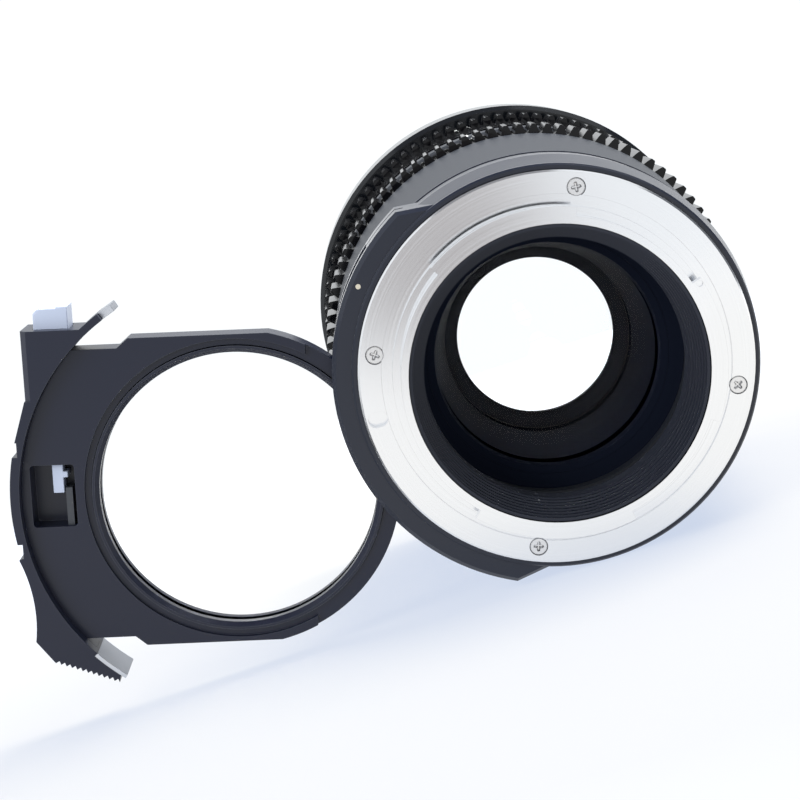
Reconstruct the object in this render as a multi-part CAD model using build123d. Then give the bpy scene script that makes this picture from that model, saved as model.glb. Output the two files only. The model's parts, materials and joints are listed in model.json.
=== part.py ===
"""Cine prime lens with a geared iris ring, a geared focus ring and a drop-in filter tray.

Millimetres. The origin is the centre of the bayonet flange's rear face. +Y is the optical axis
towards the front of the lens, +Z is up, and the filter tray leaves its slot towards -X.
Angles are polar angles in the XZ plane, from +X towards +Z, in degrees.
"""

import os
from math import asin, atan2, cos, degrees, radians, sin, sqrt

from build123d import *

# Bayonet flange
flange_radius = 32.3
flange_thickness = 2.0
flange_edge_break = 0.3
land_inner_radius = 28.5
land_relief = 0.4
throat_radius = 24.2
tube_wall = 1.2
tube_length = 4.7
boss_reach = 1.3
boss_length = 1.2
lug_reach = 1.5
lug_thickness = 1.4
lug_spans = ((325.0, 377.0), (67.0, 122.0), (222.0, 280.0))
lock_hole_radius = 1.25
lock_hole_length = 0.8
lock_hole_depth = 1.4
lock_hole_place = 30.1
lock_hole_angle = 177.1
dimple_radius = 0.5
dimple_depth = 0.4
dimple_inset = 0.6
dimple_angle = 15.5

# Flange screws
mount_screw_circle = 29.65
mount_screw_angles = (66.7, 156.7, 246.7, 336.7)
mount_screw_head = 1.43
mount_screw_head_height = 0.9
mount_screw_shank = 0.95
mount_screw_length = 4.0
mount_screw_sink = 0.1

# Rear housing with the filter slot
flange_stand = 0.9
ring_gap = 0.1
ring_radius = 33.3
shoulder_radius = 34.4
shoulder_length = 6.4
wing_set_back = 0.5
wing_rise = 2.1
wing_half_angle = 62.5
ramp_half_angle = 71.5
wing_edge_bevel = 0.7
slot_rear_wall = 2.4
slot_width = 5.4
slot_front_wall = 2.7
slot_side_gap = 0.3
housing_bore_gap = 0.25
arm_groove_depth = 0.8
arm_groove_width = 1.1
mouth_straight = 4.0
mouth_slope = 0.055

# Housing screws
housing_screw_circle = 30.9
housing_screw_angles = (5.0, 45.0, 95.0, 265.0, 315.0)
housing_screw_head = 1.45
housing_screw_head_height = 1.2
housing_screw_shank = 0.9
housing_screw_bite = 4.0

# Alignment mark on the housing's rear face
mark_radius = 0.42
mark_depth = 0.4
mark_circle = 34.9
mark_angle = 138.8

# Rear baffle
baffle_gap = 0.1
baffle_bore = 21.5
baffle_set_in = 0.45
baffle_step_pitch = 0.75
baffle_step_depth = 0.3
baffle_step_count = 7

# Main barrel
barrel_length = 27.1
barrel_rear_radius = 34.5
barrel_front_step = 2.3
barrel_lip = 1.0
bearing_wall = 2.5
end_plate_thickness = 3.6
cell_hole_radius = 23.3
cell_fit = 0.05
ring_spacing = 0.3

# Rear optical cell
cell_set_back = 2.2
cell_wall = 1.5
cell_shoulder_reach = 2.8
cell_shoulder_length = 2.4
cell_length = 21.0
rear_glass_radius = 20.6
rear_clear_radius = 19.0
rear_ring_depth = 1.3
rear_glass_edge = 3.4
rear_glass_sag = 0.8
inner_rear_glass_radius = 18.0
inner_rear_clear_radius = 16.7
inner_rear_glass_edge = 3.0
inner_rear_glass_sag = 1.3
inner_ring_depth = 1.2
glass_fit = 0.05
retaining_ring_bevel = 0.3

# Iris
iris_opening_radius = 14.2
iris_place = 24.6
iris_base_thickness = 0.9
iris_base_gap = 0.05
blade_count = 10
blade_thickness = 0.15
blade_pitch = 0.25
blade_inner_radius = 14.6
blade_outer_radius = 20.2
blade_span = 112.0
blade_pivot_circle = 21.8
blade_boss_radius = 1.1
blade_tail_angle = 20.0
blade_lead_angle = 2.0
blade_gap = 0.3
blade_pin_radius = 0.45
blade_pin_fit = 0.08
blade_throw = 32.0
iris_throw = 72.0
actuator_gap = 0.4
actuator_thickness = 2.0
actuator_bore = 15.5
actuator_fit = 0.08
actuator_pin_end = 0.3
slot_steps = 12
iris_keeper_gap = 0.2
iris_keeper_thickness = 1.0
iris_keeper_width = 3.0
drive_pin_radius = 0.8
drive_pin_fit = 0.1
drive_pin_root = 2.0
drive_slot_spare_angle = 3.0
drive_pin_angle = 250.0

# Geared rings, 0.8 module
gear_module = 0.8
gear_width = 8.0
gear_addendum_share = 1.0
gear_dedendum_share = 1.25
tooth_tip_share = 0.24
tooth_round_share = 0.36
tooth_round_height = 0.15
tooth_mid_share = 0.58
tooth_root_share = 0.86
ring_running_fit = 0.08
iris_teeth = 93
iris_gear_turn = 2.69
iris_ring_length = 10.5
iris_band_rise = 0.4
iris_ring_wall = 2.12
focus_teeth = 95
focus_gear_turn = 2.42
focus_ring_length = 23.5
focus_gear_offset = 11.2
focus_band_rise = 0.2
focus_ring_wall = 2.62
focus_flute_count = 36
focus_flute_depth = 0.5
focus_flute_width = 1.7
focus_flute_length = 7.0
focus_flute_offset = 2.2

# Scale ring between the geared rings
scale_ring_length = 5.5
scale_ring_wall = 2.7
scale_ring_bevel = 0.4

# Focus mechanism
sleeve_wall = 1.5
sleeve_root_wall = 5.4
sleeve_root_length = 9.0
sleeve_spigot_length = 4.6
sleeve_spigot_fit = 0.05
helicoid_fit = 0.08
helicoid_wall = 2.4
helicoid_length = 19.0
helicoid_gap = 0.3
focus_throw = 270.0
key_width = 3.0
key_height = 3.0
key_offset = 8.4
key_sink = 1.6
key_slot_gap = 0.2
key_angle = 90.0
key_slot_spare_angle = 4.0
focus_cell_fit = 0.08
focus_cell_gap = 1.0
focus_cell_body = 15.5
focus_cell_nose = 6.5
focus_nose_radius = 28.9
focus_flange_thickness = 3.6
guide_rod_radius = 1.0
guide_rod_fit = 0.06
guide_rod_circle = 27.4
guide_rod_reach = 15.0
guide_rod_sink = 3.0
guide_rod_count = 3
guide_rod_start_angle = 30.0

# Middle cell
middle_flange_thickness = 3.4
middle_hub_radius = 22.4
middle_hub_length = 5.5
middle_glass_radius = 20.4
middle_clear_radius = 19.0
middle_glass_edge = 3.0
middle_glass_sag = 1.4

# Front glass
inner_front_glass_radius = 24.8
inner_front_clear_radius = 23.4
inner_front_glass_edge = 3.2
inner_front_glass_sag = 1.6
front_glass_radius = 27.4
front_clear_radius = 26.2
front_glass_edge = 4.2
front_glass_sag = 2.6
front_ring_depth = 1.6
front_glass_inset = 1.9
front_ring_bevel = 0.6

# Front barrel
front_step = 5.7
front_length = 12.7
front_edge_bevel = 0.8
front_seat_length = 5.6
front_wall = 1.9
thread_depth = 4.4
trim_thickness = 1.2
trim_hole_radius = 29.6
trim_step = 1.0
front_shell_wall = 3.1

# Filter tray, in the tray's own place with its grip's arc centred on the optical axis
tray_pull = 55.25
tray_drop = 3.93
tray_turn = 16.3
tray_centre = (-1.0, 0.4)
tray_radius = 26.9
tray_side = 26.2
tray_face_gap = 0.2
tray_wing_gap = 0.3
tray_opening_radius = 23.1
tray_shoulder_place = 16.7
tray_waist = 24.6
tray_waist_place = 18.6
tray_rim_radius = 25.4
tray_rim_depth = 0.8
tray_rail_end = 12.2
filter_radius = 24.3
filter_thickness = 1.5
filter_fit = 0.05
filter_ring_fit = 0.05
filter_ring_bevel = 0.7
filter_ring_sink = 0.3
filter_seat_depth = 1.3

# Tray grip
grip_set_back = 2.2
grip_depth = 8.2
band_wall = 1.3
band_half_angle = 54.6
arm_half_angle = 46.5
arm_lap_angle = 1.0
grip_top_rise = 1.75
grip_side_inset = 3.3
grip_kink_height = 17.1
grip_edge_bevel = 1.0
grip_pad_rise = 0.25
grip_pad_high = 10.3
grip_pad_low = 9.3
grip_pad_step = 0.6
grip_pad_notch = 2.4
grip_step = (0.75, 194.2)
grip_hollow = (2.33, 208.3)
ear_shoulder = (4.96, 213.5)
ear_slope = (4.85, 220.0)
ear_tip = (0.56, 234.5)
ear_half_angle = 53.7
ear_teeth = 12
ear_tooth_depth = 0.55

# Release button, its window and its springs
button_stem_place = 30.8
button_stem_width = 1.8
button_stem_depth = 2.8
button_fit = 0.15
button_stem_low = 0.9
button_travel = 1.2
button_left = 32.8
button_right = 27.15
button_height = 3.3
button_depth = 5.0
button_sink = 1.6
button_corner = 1.2
button_lip_width = 0.65
button_lip_height = 0.3
button_nub_height = 1.0
button_nub_reach = 0.75
button_nub_place = 4.0
window_left = 35.2
window_right = 27.9
window_top = 5.9
window_bottom = 4.6
window_corner = 0.6
window_floor = 0.8
leaf_place = 29.1
leaf_width = 1.1
leaf_top = 1.8
leaf_depth = 3.2
catch_wall = 0.7
catch_half_angle = 55.1
hook_half_angle = 58.2
lower_catch_start_angle = 45.3
grip_screw_radius = 0.9
grip_screw_head = 1.5
grip_screw_head_height = 0.8
grip_screw_length = 4.6
grip_screw_rise = 1.5
grip_screw_angles = (214.0, 222.5)
tongue_reach = 4.0
tongue_start_angle = 211.0
tongue_end_angle = 224.5

# How far cutting shapes run past the body, and the widest step of a wedge's rim
overrun = 5.0
sector_step = 40.0

# Places along the optical axis
y_seat = flange_thickness
y_ring_face = flange_stand
y_wing_face = y_ring_face + wing_set_back
y_slot_rear = y_seat + slot_rear_wall
y_slot_front = y_slot_rear + slot_width
y_housing_front = y_slot_front + slot_front_wall
y_plate_rear = y_slot_rear + tray_face_gap
y_plate_front = y_slot_front - tray_face_gap
y_plate_middle = (y_plate_rear + y_plate_front) / 2
y_end_plate = y_housing_front + end_plate_thickness
y_barrel_front = y_housing_front + barrel_length
y_iris_ring = y_barrel_front + ring_spacing
y_iris_ring_front = y_iris_ring + iris_ring_length
y_scale_ring = y_iris_ring_front + ring_spacing
y_scale_ring_front = y_scale_ring + scale_ring_length
y_focus_ring = y_scale_ring_front + ring_spacing
y_focus_ring_front = y_focus_ring + focus_ring_length
y_front_barrel = y_focus_ring_front + ring_spacing
y_front = y_front_barrel + front_length
y_iris_base = y_housing_front + iris_place
y_blades = y_iris_base + iris_base_thickness + blade_gap
y_blades_front = y_blades + blade_count * blade_pitch
y_actuator = y_blades_front + actuator_gap
y_actuator_front = y_actuator + actuator_thickness
y_drive_pin = y_actuator + actuator_thickness / 2
y_iris_keeper = y_actuator_front + iris_keeper_gap
y_iris_keeper_front = y_iris_keeper + iris_keeper_thickness
y_sleeve = y_scale_ring
y_sleeve_root_front = y_sleeve + sleeve_root_length
y_helicoid = y_sleeve_root_front + helicoid_gap
y_helicoid_front = y_helicoid + helicoid_length
y_focus_cell = y_sleeve_root_front + focus_cell_gap
y_focus_body_front = y_focus_cell + focus_cell_body
y_focus_nose_front = y_focus_body_front + focus_cell_nose
y_sleeve_front = y_front_barrel + front_seat_length
y_trim = y_front - thread_depth - trim_thickness
y_key = y_helicoid + key_offset
y_grip_rear = y_plate_rear - grip_set_back
y_grip_front = y_grip_rear + grip_depth

# Radii worked out from the fits
neck_radius = throat_radius + tube_wall
lug_radius = neck_radius + lug_reach
boss_radius = neck_radius + boss_reach
cavity_radius = tray_radius + slot_side_gap
wing_radius = shoulder_radius + wing_rise
tray_arc_radius = wing_radius + tray_wing_gap
band_radius = tray_arc_radius + band_wall
pad_radius = band_radius + grip_pad_rise
tongue_radius = tray_arc_radius + tongue_reach
grip_top = tray_radius + grip_top_rise
grip_side = band_radius - grip_side_inset
iris_root_radius = gear_module * (iris_teeth / 2 - gear_dedendum_share)
iris_band_radius = iris_root_radius + iris_band_rise
bearing_radius = iris_root_radius - iris_ring_wall - ring_running_fit
barrel_front_radius = bearing_radius + barrel_front_step
barrel_bore = bearing_radius - bearing_wall
focus_root_radius = gear_module * (focus_teeth / 2 - gear_dedendum_share)
focus_band_radius = focus_root_radius + focus_band_rise
sleeve_radius = focus_root_radius - focus_ring_wall - ring_running_fit
sleeve_bore = sleeve_radius - sleeve_wall
sleeve_root_bore = sleeve_radius - sleeve_root_wall
scale_ring_radius = sleeve_radius + scale_ring_wall
front_radius = sleeve_radius + front_step
thread_radius = front_radius - front_wall
front_shell_bore = front_radius - front_shell_wall
helicoid_radius = sleeve_bore - helicoid_fit
helicoid_bore = helicoid_radius - helicoid_wall
focus_cell_radius = helicoid_bore - focus_cell_fit
rear_cell_radius = cell_hole_radius - cell_fit


def section(height):
    """Plane square to the optical axis at this height, local x = X and local y = Z."""
    return Plane((0, height, 0), x_dir=(1, 0, 0), z_dir=(0, -1, 0))


def slab(outline, start, end):
    """A flat outline carried along the optical axis from start to end."""
    return extrude(section(end) * outline, amount=end - start)


def tube(outer, inner, start, end):
    """A plain ring on the optical axis."""
    return slab(Circle(outer) - Circle(inner), start, end)


def disc(radius, start, end):
    return slab(Circle(radius), start, end)


def turned(*profile):
    """A profile of (radius, height) points turned about the optical axis."""
    return revolve(make_face(Polyline(*profile, close=True)), Axis.Y)


def polar(radius, angle):
    return radius * cos(radians(angle)), radius * sin(radians(angle))


def sector(radius, start, end):
    """Wedge from the axis that reaches past radius between two polar angles."""
    steps = max(2, int((end - start) / sector_step) + 1)
    step = (end - start) / steps
    far = (radius + overrun) / cos(radians(step / 2))
    rim = [polar(far, start + step * i) for i in range(steps + 1)]
    return make_face(Polyline((0, 0), *rim, close=True))


def ring_sector(outer, inner, start, end):
    return (Circle(outer) - Circle(inner)) & sector(outer, start, end)


def ring_of(piece, angles, radius):
    """Copies of a piece, moved to a pitch circle at each angle."""
    copies = []
    for angle in angles:
        x, z = polar(radius, angle)
        copies.append(Pos(x, 0, z) * piece)
    return copies


def glass(radius, clear, rear, edge, sag_rear, sag_front):
    """Lens element: flat rim, spherical face inside it at each end, sags positive to the front."""

    def dome(height, sag):
        sphere = (clear ** 2 + sag ** 2) / (2 * abs(sag))
        drop = sphere - sqrt(sphere ** 2 - (clear / 2) ** 2)
        return clear / 2, height + (sag - drop if sag > 0 else sag + drop)

    front = rear + edge
    rear_face = ThreePointArc((0, rear + sag_rear), dome(rear, sag_rear), (clear, rear))
    front_face = ThreePointArc((clear, front), dome(front, sag_front), (0, front + sag_front))
    rim = Polyline((clear, rear), (radius, rear), (radius, front), (clear, front))
    axis = Line((0, front + sag_front), (0, rear + sag_rear))
    return revolve(make_face(rear_face + rim + front_face + axis), Axis.Y)


def gear_outline(teeth, first):
    """Closed outline of a 0.8 module ring gear, one tooth after another from the angle first."""
    pitch_radius = gear_module * teeth / 2
    tip = pitch_radius + gear_module * gear_addendum_share
    root = pitch_radius - gear_module * gear_dedendum_share
    pitch_angle = 360 / teeth
    points = []
    for i in range(teeth):
        centre = first + i * pitch_angle
        for radius, share in (
            (root, -tooth_root_share),
            (pitch_radius, -tooth_mid_share),
            (tip - tooth_round_height, -tooth_round_share),
            (tip, -tooth_tip_share),
            (tip, tooth_tip_share),
            (tip - tooth_round_height, tooth_round_share),
            (pitch_radius, tooth_mid_share),
            (root, tooth_root_share),
        ):
            points.append(polar(radius, centre + share * pitch_angle / 2))
    return make_face(Polyline(*points, close=True))


def mount_flange():
    """Chromed bayonet flange: flat land, spigot, tube with three lugs, screw and lock-pin holes."""
    body = turned(
        (throat_radius, flange_thickness),
        (flange_radius, flange_thickness),
        (flange_radius, flange_edge_break),
        (flange_radius - flange_edge_break, 0),
        (land_inner_radius, 0),
        (land_inner_radius, land_relief),
        (boss_radius, land_relief),
        (boss_radius, -boss_length),
        (neck_radius, -boss_length),
        (neck_radius, -tube_length),
        (throat_radius, -tube_length),
    )
    for start, end in lug_spans:
        body += slab(ring_sector(lug_radius, throat_radius, start, end), -tube_length,
                     lug_thickness - tube_length)
    cone = mount_screw_head_height + mount_screw_sink
    seat = disc(mount_screw_head + ring_gap, 0, mount_screw_sink) + turned(
        (0, mount_screw_sink),
        (mount_screw_head + ring_gap, mount_screw_sink),
        (mount_screw_shank + ring_gap, cone + ring_gap),
        (mount_screw_shank + ring_gap, flange_thickness + overrun),
        (0, flange_thickness + overrun),
    )
    body -= ring_of(seat, mount_screw_angles, mount_screw_circle)
    x, z = polar(lock_hole_place, lock_hole_angle)
    pocket = Rot(0, 0, lock_hole_angle) * SlotCenterToCenter(lock_hole_length, 2 * lock_hole_radius)
    body -= Pos(x, 0, z) * slab(pocket, 0, lock_hole_depth)
    dimple_place = lug_radius - dimple_inset
    x, z = polar(dimple_place, dimple_angle)
    body -= Pos(x, 0, z) * disc(dimple_radius, -tube_length, dimple_depth - tube_length)
    return body


def mount_screws():
    """Four countersunk screws that hold the flange, level with its land."""
    screw = turned(
        (0, mount_screw_sink),
        (mount_screw_head, mount_screw_sink),
        (mount_screw_shank, mount_screw_sink + mount_screw_head_height),
        (mount_screw_shank, mount_screw_length),
        (0, mount_screw_length),
    )
    return ring_of(screw, mount_screw_angles, mount_screw_circle)


def wing_outline(outer, core):
    """Ring with the raised stretch that houses the slot's mouth, and its two straight ramps."""
    start, end = 180 - ramp_half_angle, 180 + ramp_half_angle
    high, low = 180 - wing_half_angle, 180 + wing_half_angle
    arc = ThreePointArc(polar(outer, high), (-outer, 0), polar(outer, low))
    rim = Polyline(polar(outer, low), polar(core, end), (0, 0), polar(core, start), polar(outer, high))
    return make_face(arc + rim) + Circle(core)


def slot_outline():
    """The tray's way in: round at the blind end, sides that open out a little to the mouth."""
    reach = wing_radius + overrun
    mouth = cavity_radius + (reach - mouth_straight) * mouth_slope
    upper = [(0, cavity_radius), (-mouth_straight, cavity_radius), (-reach, mouth)]
    lower = [(x, -z) for x, z in reversed(upper)]
    return Circle(cavity_radius) + make_face(Polyline(*upper, *lower, close=True))


def rear_housing():
    """Black rear housing: ring round the flange, wing, slot for the tray, bore for the baffle."""
    y_shoulder = y_ring_face + shoulder_length
    bevel = wing_edge_bevel
    core = turned(
        (0, y_ring_face),
        (ring_radius - flange_edge_break, y_ring_face),
        (ring_radius, y_ring_face + flange_edge_break),
        (ring_radius, y_wing_face + bevel),
        (shoulder_radius, y_shoulder),
        (shoulder_radius, y_housing_front),
        (0, y_housing_front),
    )
    narrow = wing_outline(wing_radius - bevel, ring_radius - bevel)
    wide = wing_outline(wing_radius, ring_radius)
    wing = loft([section(y_wing_face + bevel) * wide.faces()[0], section(y_wing_face) * narrow.faces()[0]])
    wing += slab(wide, y_wing_face + bevel, y_housing_front - bevel)
    wing += loft([section(y_housing_front - bevel) * wide.faces()[0],
                  section(y_housing_front) * narrow.faces()[0]])
    body = core + wing
    body -= disc(flange_radius + ring_gap, y_ring_face - overrun, y_seat)
    body -= disc(throat_radius + housing_bore_gap, y_ring_face - overrun, y_housing_front + overrun)
    body -= slab(slot_outline(), y_slot_rear, y_slot_front)
    middle = (y_slot_rear + y_slot_front) / 2
    groove = Circle(wing_radius + overrun) - Circle(wing_radius - arm_groove_depth)
    groove &= sector(wing_radius, 180 - wing_half_angle - overrun, 180 + wing_half_angle + overrun)
    body -= slab(groove, middle - arm_groove_width / 2, middle + arm_groove_width / 2)
    hole = disc(mount_screw_shank, y_seat, mount_screw_length)
    body -= ring_of(hole, mount_screw_angles, mount_screw_circle)
    head = disc(housing_screw_head + ring_gap, y_seat, y_seat + housing_screw_head_height)
    shank = disc(housing_screw_shank, y_seat, y_housing_front)
    body -= ring_of(head + shank, housing_screw_angles, housing_screw_circle)
    x, z = polar(mark_circle, mark_angle)
    body -= Pos(x, 0, z) * disc(mark_radius, y_wing_face, y_wing_face + mark_depth)
    return body


def housing_screws():
    """Five screws under the flange that hold the rear housing to the main barrel."""
    screw = disc(housing_screw_head, y_seat, y_seat + housing_screw_head_height)
    screw += disc(housing_screw_shank, y_seat, y_housing_front + housing_screw_bite)
    return ring_of(screw, housing_screw_angles, housing_screw_circle)


def alignment_mark():
    x, z = polar(mark_circle, mark_angle)
    return Pos(x, 0, z) * disc(mark_radius, y_wing_face, y_wing_face + mark_depth)


def rear_baffle():
    """Matte light trap inside the bayonet tube, stepped in from its rear edge to its bore."""
    rear = baffle_set_in - tube_length
    front = y_slot_rear
    outer = throat_radius - baffle_gap
    profile = [(baffle_bore, front), (outer, front), (outer, rear)]
    for i in range(baffle_step_count):
        radius = baffle_bore + (baffle_step_count - i) * baffle_step_depth
        y = rear + i * baffle_step_pitch
        profile += [(radius, y), (radius, y + baffle_step_pitch)]
    profile.append((baffle_bore, rear + baffle_step_count * baffle_step_pitch))
    return turned(*profile)


def main_barrel():
    """Black barrel that carries everything: end plate, tapered tube and the iris ring's bearing."""
    body = turned(
        (cell_hole_radius, y_housing_front),
        (barrel_rear_radius, y_housing_front),
        (barrel_front_radius, y_barrel_front - barrel_lip),
        (barrel_front_radius, y_barrel_front),
        (bearing_radius, y_barrel_front),
        (bearing_radius, y_scale_ring),
        (barrel_bore, y_scale_ring),
        (barrel_bore, y_iris_base),
        (barrel_bore - iris_keeper_width, y_iris_base),
        (barrel_bore - iris_keeper_width, y_end_plate),
        (cell_hole_radius, y_end_plate),
    )
    shank = disc(housing_screw_shank, y_housing_front, y_housing_front + housing_screw_bite)
    body -= ring_of(shank, housing_screw_angles, housing_screw_circle)
    half = degrees(asin((drive_pin_radius + drive_pin_fit) / bearing_radius)) + drive_slot_spare_angle
    start, end = drive_pin_angle - half, drive_pin_angle + iris_throw + half
    reach = drive_pin_radius + drive_pin_fit
    body -= slab(ring_sector(bearing_radius + overrun, barrel_bore - drive_pin_fit, start, end),
                 y_drive_pin - reach, y_drive_pin + reach)
    return body


def rear_cell():
    """Tube of the rear optical group, held by its shoulder against the barrel's end plate."""
    rear = y_housing_front + cell_set_back
    y_glass = rear + rear_ring_depth
    y_step = y_glass + rear_glass_edge
    front = rear + cell_length
    y_inner_ring = front - inner_ring_depth
    y_inner_glass = y_inner_ring - inner_rear_glass_edge
    return turned(
        (rear_glass_radius + glass_fit, rear),
        (rear_cell_radius, rear),
        (rear_cell_radius, y_end_plate),
        (rear_cell_radius + cell_shoulder_reach, y_end_plate),
        (rear_cell_radius + cell_shoulder_reach, y_end_plate + cell_shoulder_length),
        (rear_cell_radius - cell_wall, y_end_plate + cell_shoulder_length),
        (inner_rear_glass_radius + cell_wall, front),
        (inner_rear_glass_radius + glass_fit, front),
        (inner_rear_glass_radius + glass_fit, y_inner_glass),
        (inner_rear_clear_radius, y_inner_glass),
        (rear_clear_radius, y_step),
        (rear_glass_radius + glass_fit, y_step),
    )


def rear_retaining_ring():
    rear = y_housing_front + cell_set_back
    return turned(
        (rear_clear_radius, rear + rear_ring_depth),
        (rear_glass_radius, rear + rear_ring_depth),
        (rear_glass_radius, rear),
        (rear_clear_radius + retaining_ring_bevel, rear),
    )


def rear_glass():
    rear = y_housing_front + cell_set_back + rear_ring_depth
    return glass(rear_glass_radius, rear_clear_radius, rear, rear_glass_edge, -rear_glass_sag,
                 -rear_glass_sag)


def inner_rear_glass():
    front = y_housing_front + cell_set_back + cell_length - inner_ring_depth
    rear = front - inner_rear_glass_edge
    return glass(inner_rear_glass_radius, inner_rear_clear_radius, rear, inner_rear_glass_edge,
                 -inner_rear_glass_sag, -inner_rear_glass_sag)


def inner_retaining_ring():
    front = y_housing_front + cell_set_back + cell_length
    return tube(inner_rear_glass_radius, inner_rear_clear_radius, front - inner_ring_depth, front)


def iris_base():
    """Plate with the full opening and the holes that the blades turn in."""
    body = tube(barrel_bore - iris_base_gap, iris_opening_radius, y_iris_base,
                y_iris_base + iris_base_thickness)
    hole = disc(blade_pin_radius + blade_pin_fit, y_iris_base, y_iris_base + iris_base_thickness)
    return body - ring_of(hole, blade_angles(), blade_pivot_circle)


def blade_angles():
    return [360 / blade_count * i for i in range(blade_count)]


def iris_blade(index):
    """One leaf: curved strip, boss with its pivot pin to the rear, tail with its drive pin."""
    low = y_blades + index * blade_pitch
    high = low + blade_thickness
    strip = ring_sector(blade_outer_radius, blade_inner_radius, -blade_lead_angle, blade_span)
    pivot = polar(blade_pivot_circle, 0)
    tail = polar(blade_pivot_circle, -blade_tail_angle)
    arm_length = sqrt((pivot[0] - tail[0]) ** 2 + (pivot[1] - tail[1]) ** 2)
    arm_angle = degrees(atan2(pivot[1] - tail[1], pivot[0] - tail[0]))
    middle = ((pivot[0] + tail[0]) / 2, (pivot[1] + tail[1]) / 2)
    arm = Pos(*middle) * Rot(0, 0, arm_angle) * SlotCenterToCenter(arm_length, 2 * blade_boss_radius)
    root_width = blade_pivot_circle - blade_inner_radius
    root = Pos(pivot[0] - root_width / 2, 0) * Rectangle(root_width, 2 * blade_boss_radius)
    leaf = slab(strip + arm + root, low, high)
    pin_reach = y_iris_base + actuator_pin_end
    leaf += Pos(pivot[0], 0, pivot[1]) * disc(blade_pin_radius, pin_reach, high)
    leaf += Pos(tail[0], 0, tail[1]) * disc(blade_pin_radius, low, y_actuator_front - actuator_pin_end)
    return Rot(0, -blade_angles()[index], 0) * leaf


def drive_pin_path(share):
    """Where a leaf's drive pin stands in the turning actuator, from open (0) to shut (1)."""
    turn = blade_throw * share
    tail = polar(blade_pivot_circle, -blade_tail_angle)
    dx, dz = tail[0] - blade_pivot_circle, tail[1]
    x = blade_pivot_circle + dx * cos(radians(turn)) - dz * sin(radians(turn))
    z = dx * sin(radians(turn)) + dz * cos(radians(turn))
    return sqrt(x * x + z * z), degrees(atan2(z, x)) - iris_throw * share


def iris_actuator():
    """Ring behind the geared iris ring's pin: its cam slots swing the blades."""
    body = tube(barrel_bore - actuator_fit, actuator_bore, y_actuator, y_actuator_front)
    reach = blade_pin_radius + blade_pin_fit
    path = [drive_pin_path(i / slot_steps) for i in range(slot_steps + 1)]
    first, last = path[0], path[-1]
    end_turn = degrees(reach / first[0])
    outer = [polar(r + reach, a) for r, a in path]
    inner = [polar(r - reach, a) for r, a in reversed(path)]
    outline = Spline(*outer) + ThreePointArc(outer[-1], polar(last[0], last[1] - end_turn), inner[0])
    outline += Spline(*inner) + ThreePointArc(inner[-1], polar(first[0], first[1] + end_turn), outer[0])
    slot = slab(make_face(outline), y_actuator, y_actuator_front)
    for angle in blade_angles():
        body -= Rot(0, -angle, 0) * slot
    hole = radial_pin(drive_pin_radius, barrel_bore - drive_pin_root, barrel_bore, y_drive_pin,
                      drive_pin_angle)
    return body - hole


def radial_pin(radius, inner, outer, height, angle):
    """A pin that stands out from the optical axis at one angle."""
    pin = Pos(inner, 0, 0) * Rot(0, 90, 0) * Cylinder(
        radius, outer - inner, align=(Align.CENTER, Align.CENTER, Align.MIN))
    return Pos(0, height, 0) * Rot(0, -angle, 0) * pin


def iris_keeper():
    return tube(barrel_bore, barrel_bore - iris_keeper_width, y_iris_keeper, y_iris_keeper_front)


def iris_drive_pin():
    """Pin from the geared iris ring, through the barrel's slot, into the actuator."""
    inner = barrel_bore - drive_pin_root
    return radial_pin(drive_pin_radius, inner, iris_root_radius - drive_pin_fit, y_drive_pin,
                      drive_pin_angle)


def iris_ring():
    """Geared iris ring that runs on the main barrel's bearing."""
    y_band = y_iris_ring + gear_width
    bore = bearing_radius + ring_running_fit
    body = tube(iris_band_radius, bore, y_band, y_iris_ring_front)
    body += slab(gear_outline(iris_teeth, iris_gear_turn) - Circle(bore), y_iris_ring, y_band)
    hole = radial_pin(drive_pin_radius, bearing_radius - overrun, iris_root_radius - drive_pin_fit,
                      y_drive_pin, drive_pin_angle)
    return body - hole


def scale_ring():
    """Fixed band between the two geared rings that carries the index lines."""
    edge = scale_ring_bevel
    return turned(
        (sleeve_radius, y_scale_ring),
        (scale_ring_radius - edge, y_scale_ring),
        (scale_ring_radius, y_scale_ring + edge),
        (scale_ring_radius, y_scale_ring_front - edge),
        (scale_ring_radius - edge, y_scale_ring_front),
        (sleeve_radius, y_scale_ring_front),
    )


def focus_sleeve():
    """Fixed sleeve that the focus ring runs on outside and the helicoid ring inside."""
    y_spigot = y_sleeve - sleeve_spigot_length
    spigot = barrel_bore - sleeve_spigot_fit
    body = turned(
        (sleeve_root_bore, y_spigot),
        (spigot, y_spigot),
        (spigot, y_sleeve),
        (sleeve_radius, y_sleeve),
        (sleeve_radius, y_sleeve_front),
        (sleeve_bore, y_sleeve_front),
        (sleeve_bore, y_sleeve_root_front),
        (sleeve_root_bore, y_sleeve_root_front),
    )
    half = degrees(asin((key_width / 2) / sleeve_bore)) + key_slot_spare_angle
    slot = ring_sector(sleeve_radius + overrun, sleeve_bore - key_slot_gap, key_angle - half,
                       key_angle + focus_throw + half)
    reach = key_height / 2 + key_slot_gap
    return body - slab(slot, y_key - reach, y_key + reach)


def middle_cell():
    """Fixed cell in the sleeve's root with the middle glass and the three guide rods."""
    rear = y_sleeve
    front = rear + middle_flange_thickness
    y_hub = rear + middle_hub_length
    seat = y_hub - middle_glass_edge
    body = turned(
        (middle_clear_radius, rear),
        (sleeve_root_bore, rear),
        (sleeve_root_bore, front),
        (middle_hub_radius, front),
        (middle_hub_radius, y_hub),
        (middle_glass_radius + glass_fit, y_hub),
        (middle_glass_radius + glass_fit, seat),
        (middle_clear_radius, seat),
    )
    hole = disc(guide_rod_radius, front - guide_rod_sink, front)
    return body - ring_of(hole, rod_angles(), guide_rod_circle)


def rod_angles():
    return [360 / guide_rod_count * i + guide_rod_start_angle for i in range(guide_rod_count)]


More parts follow.
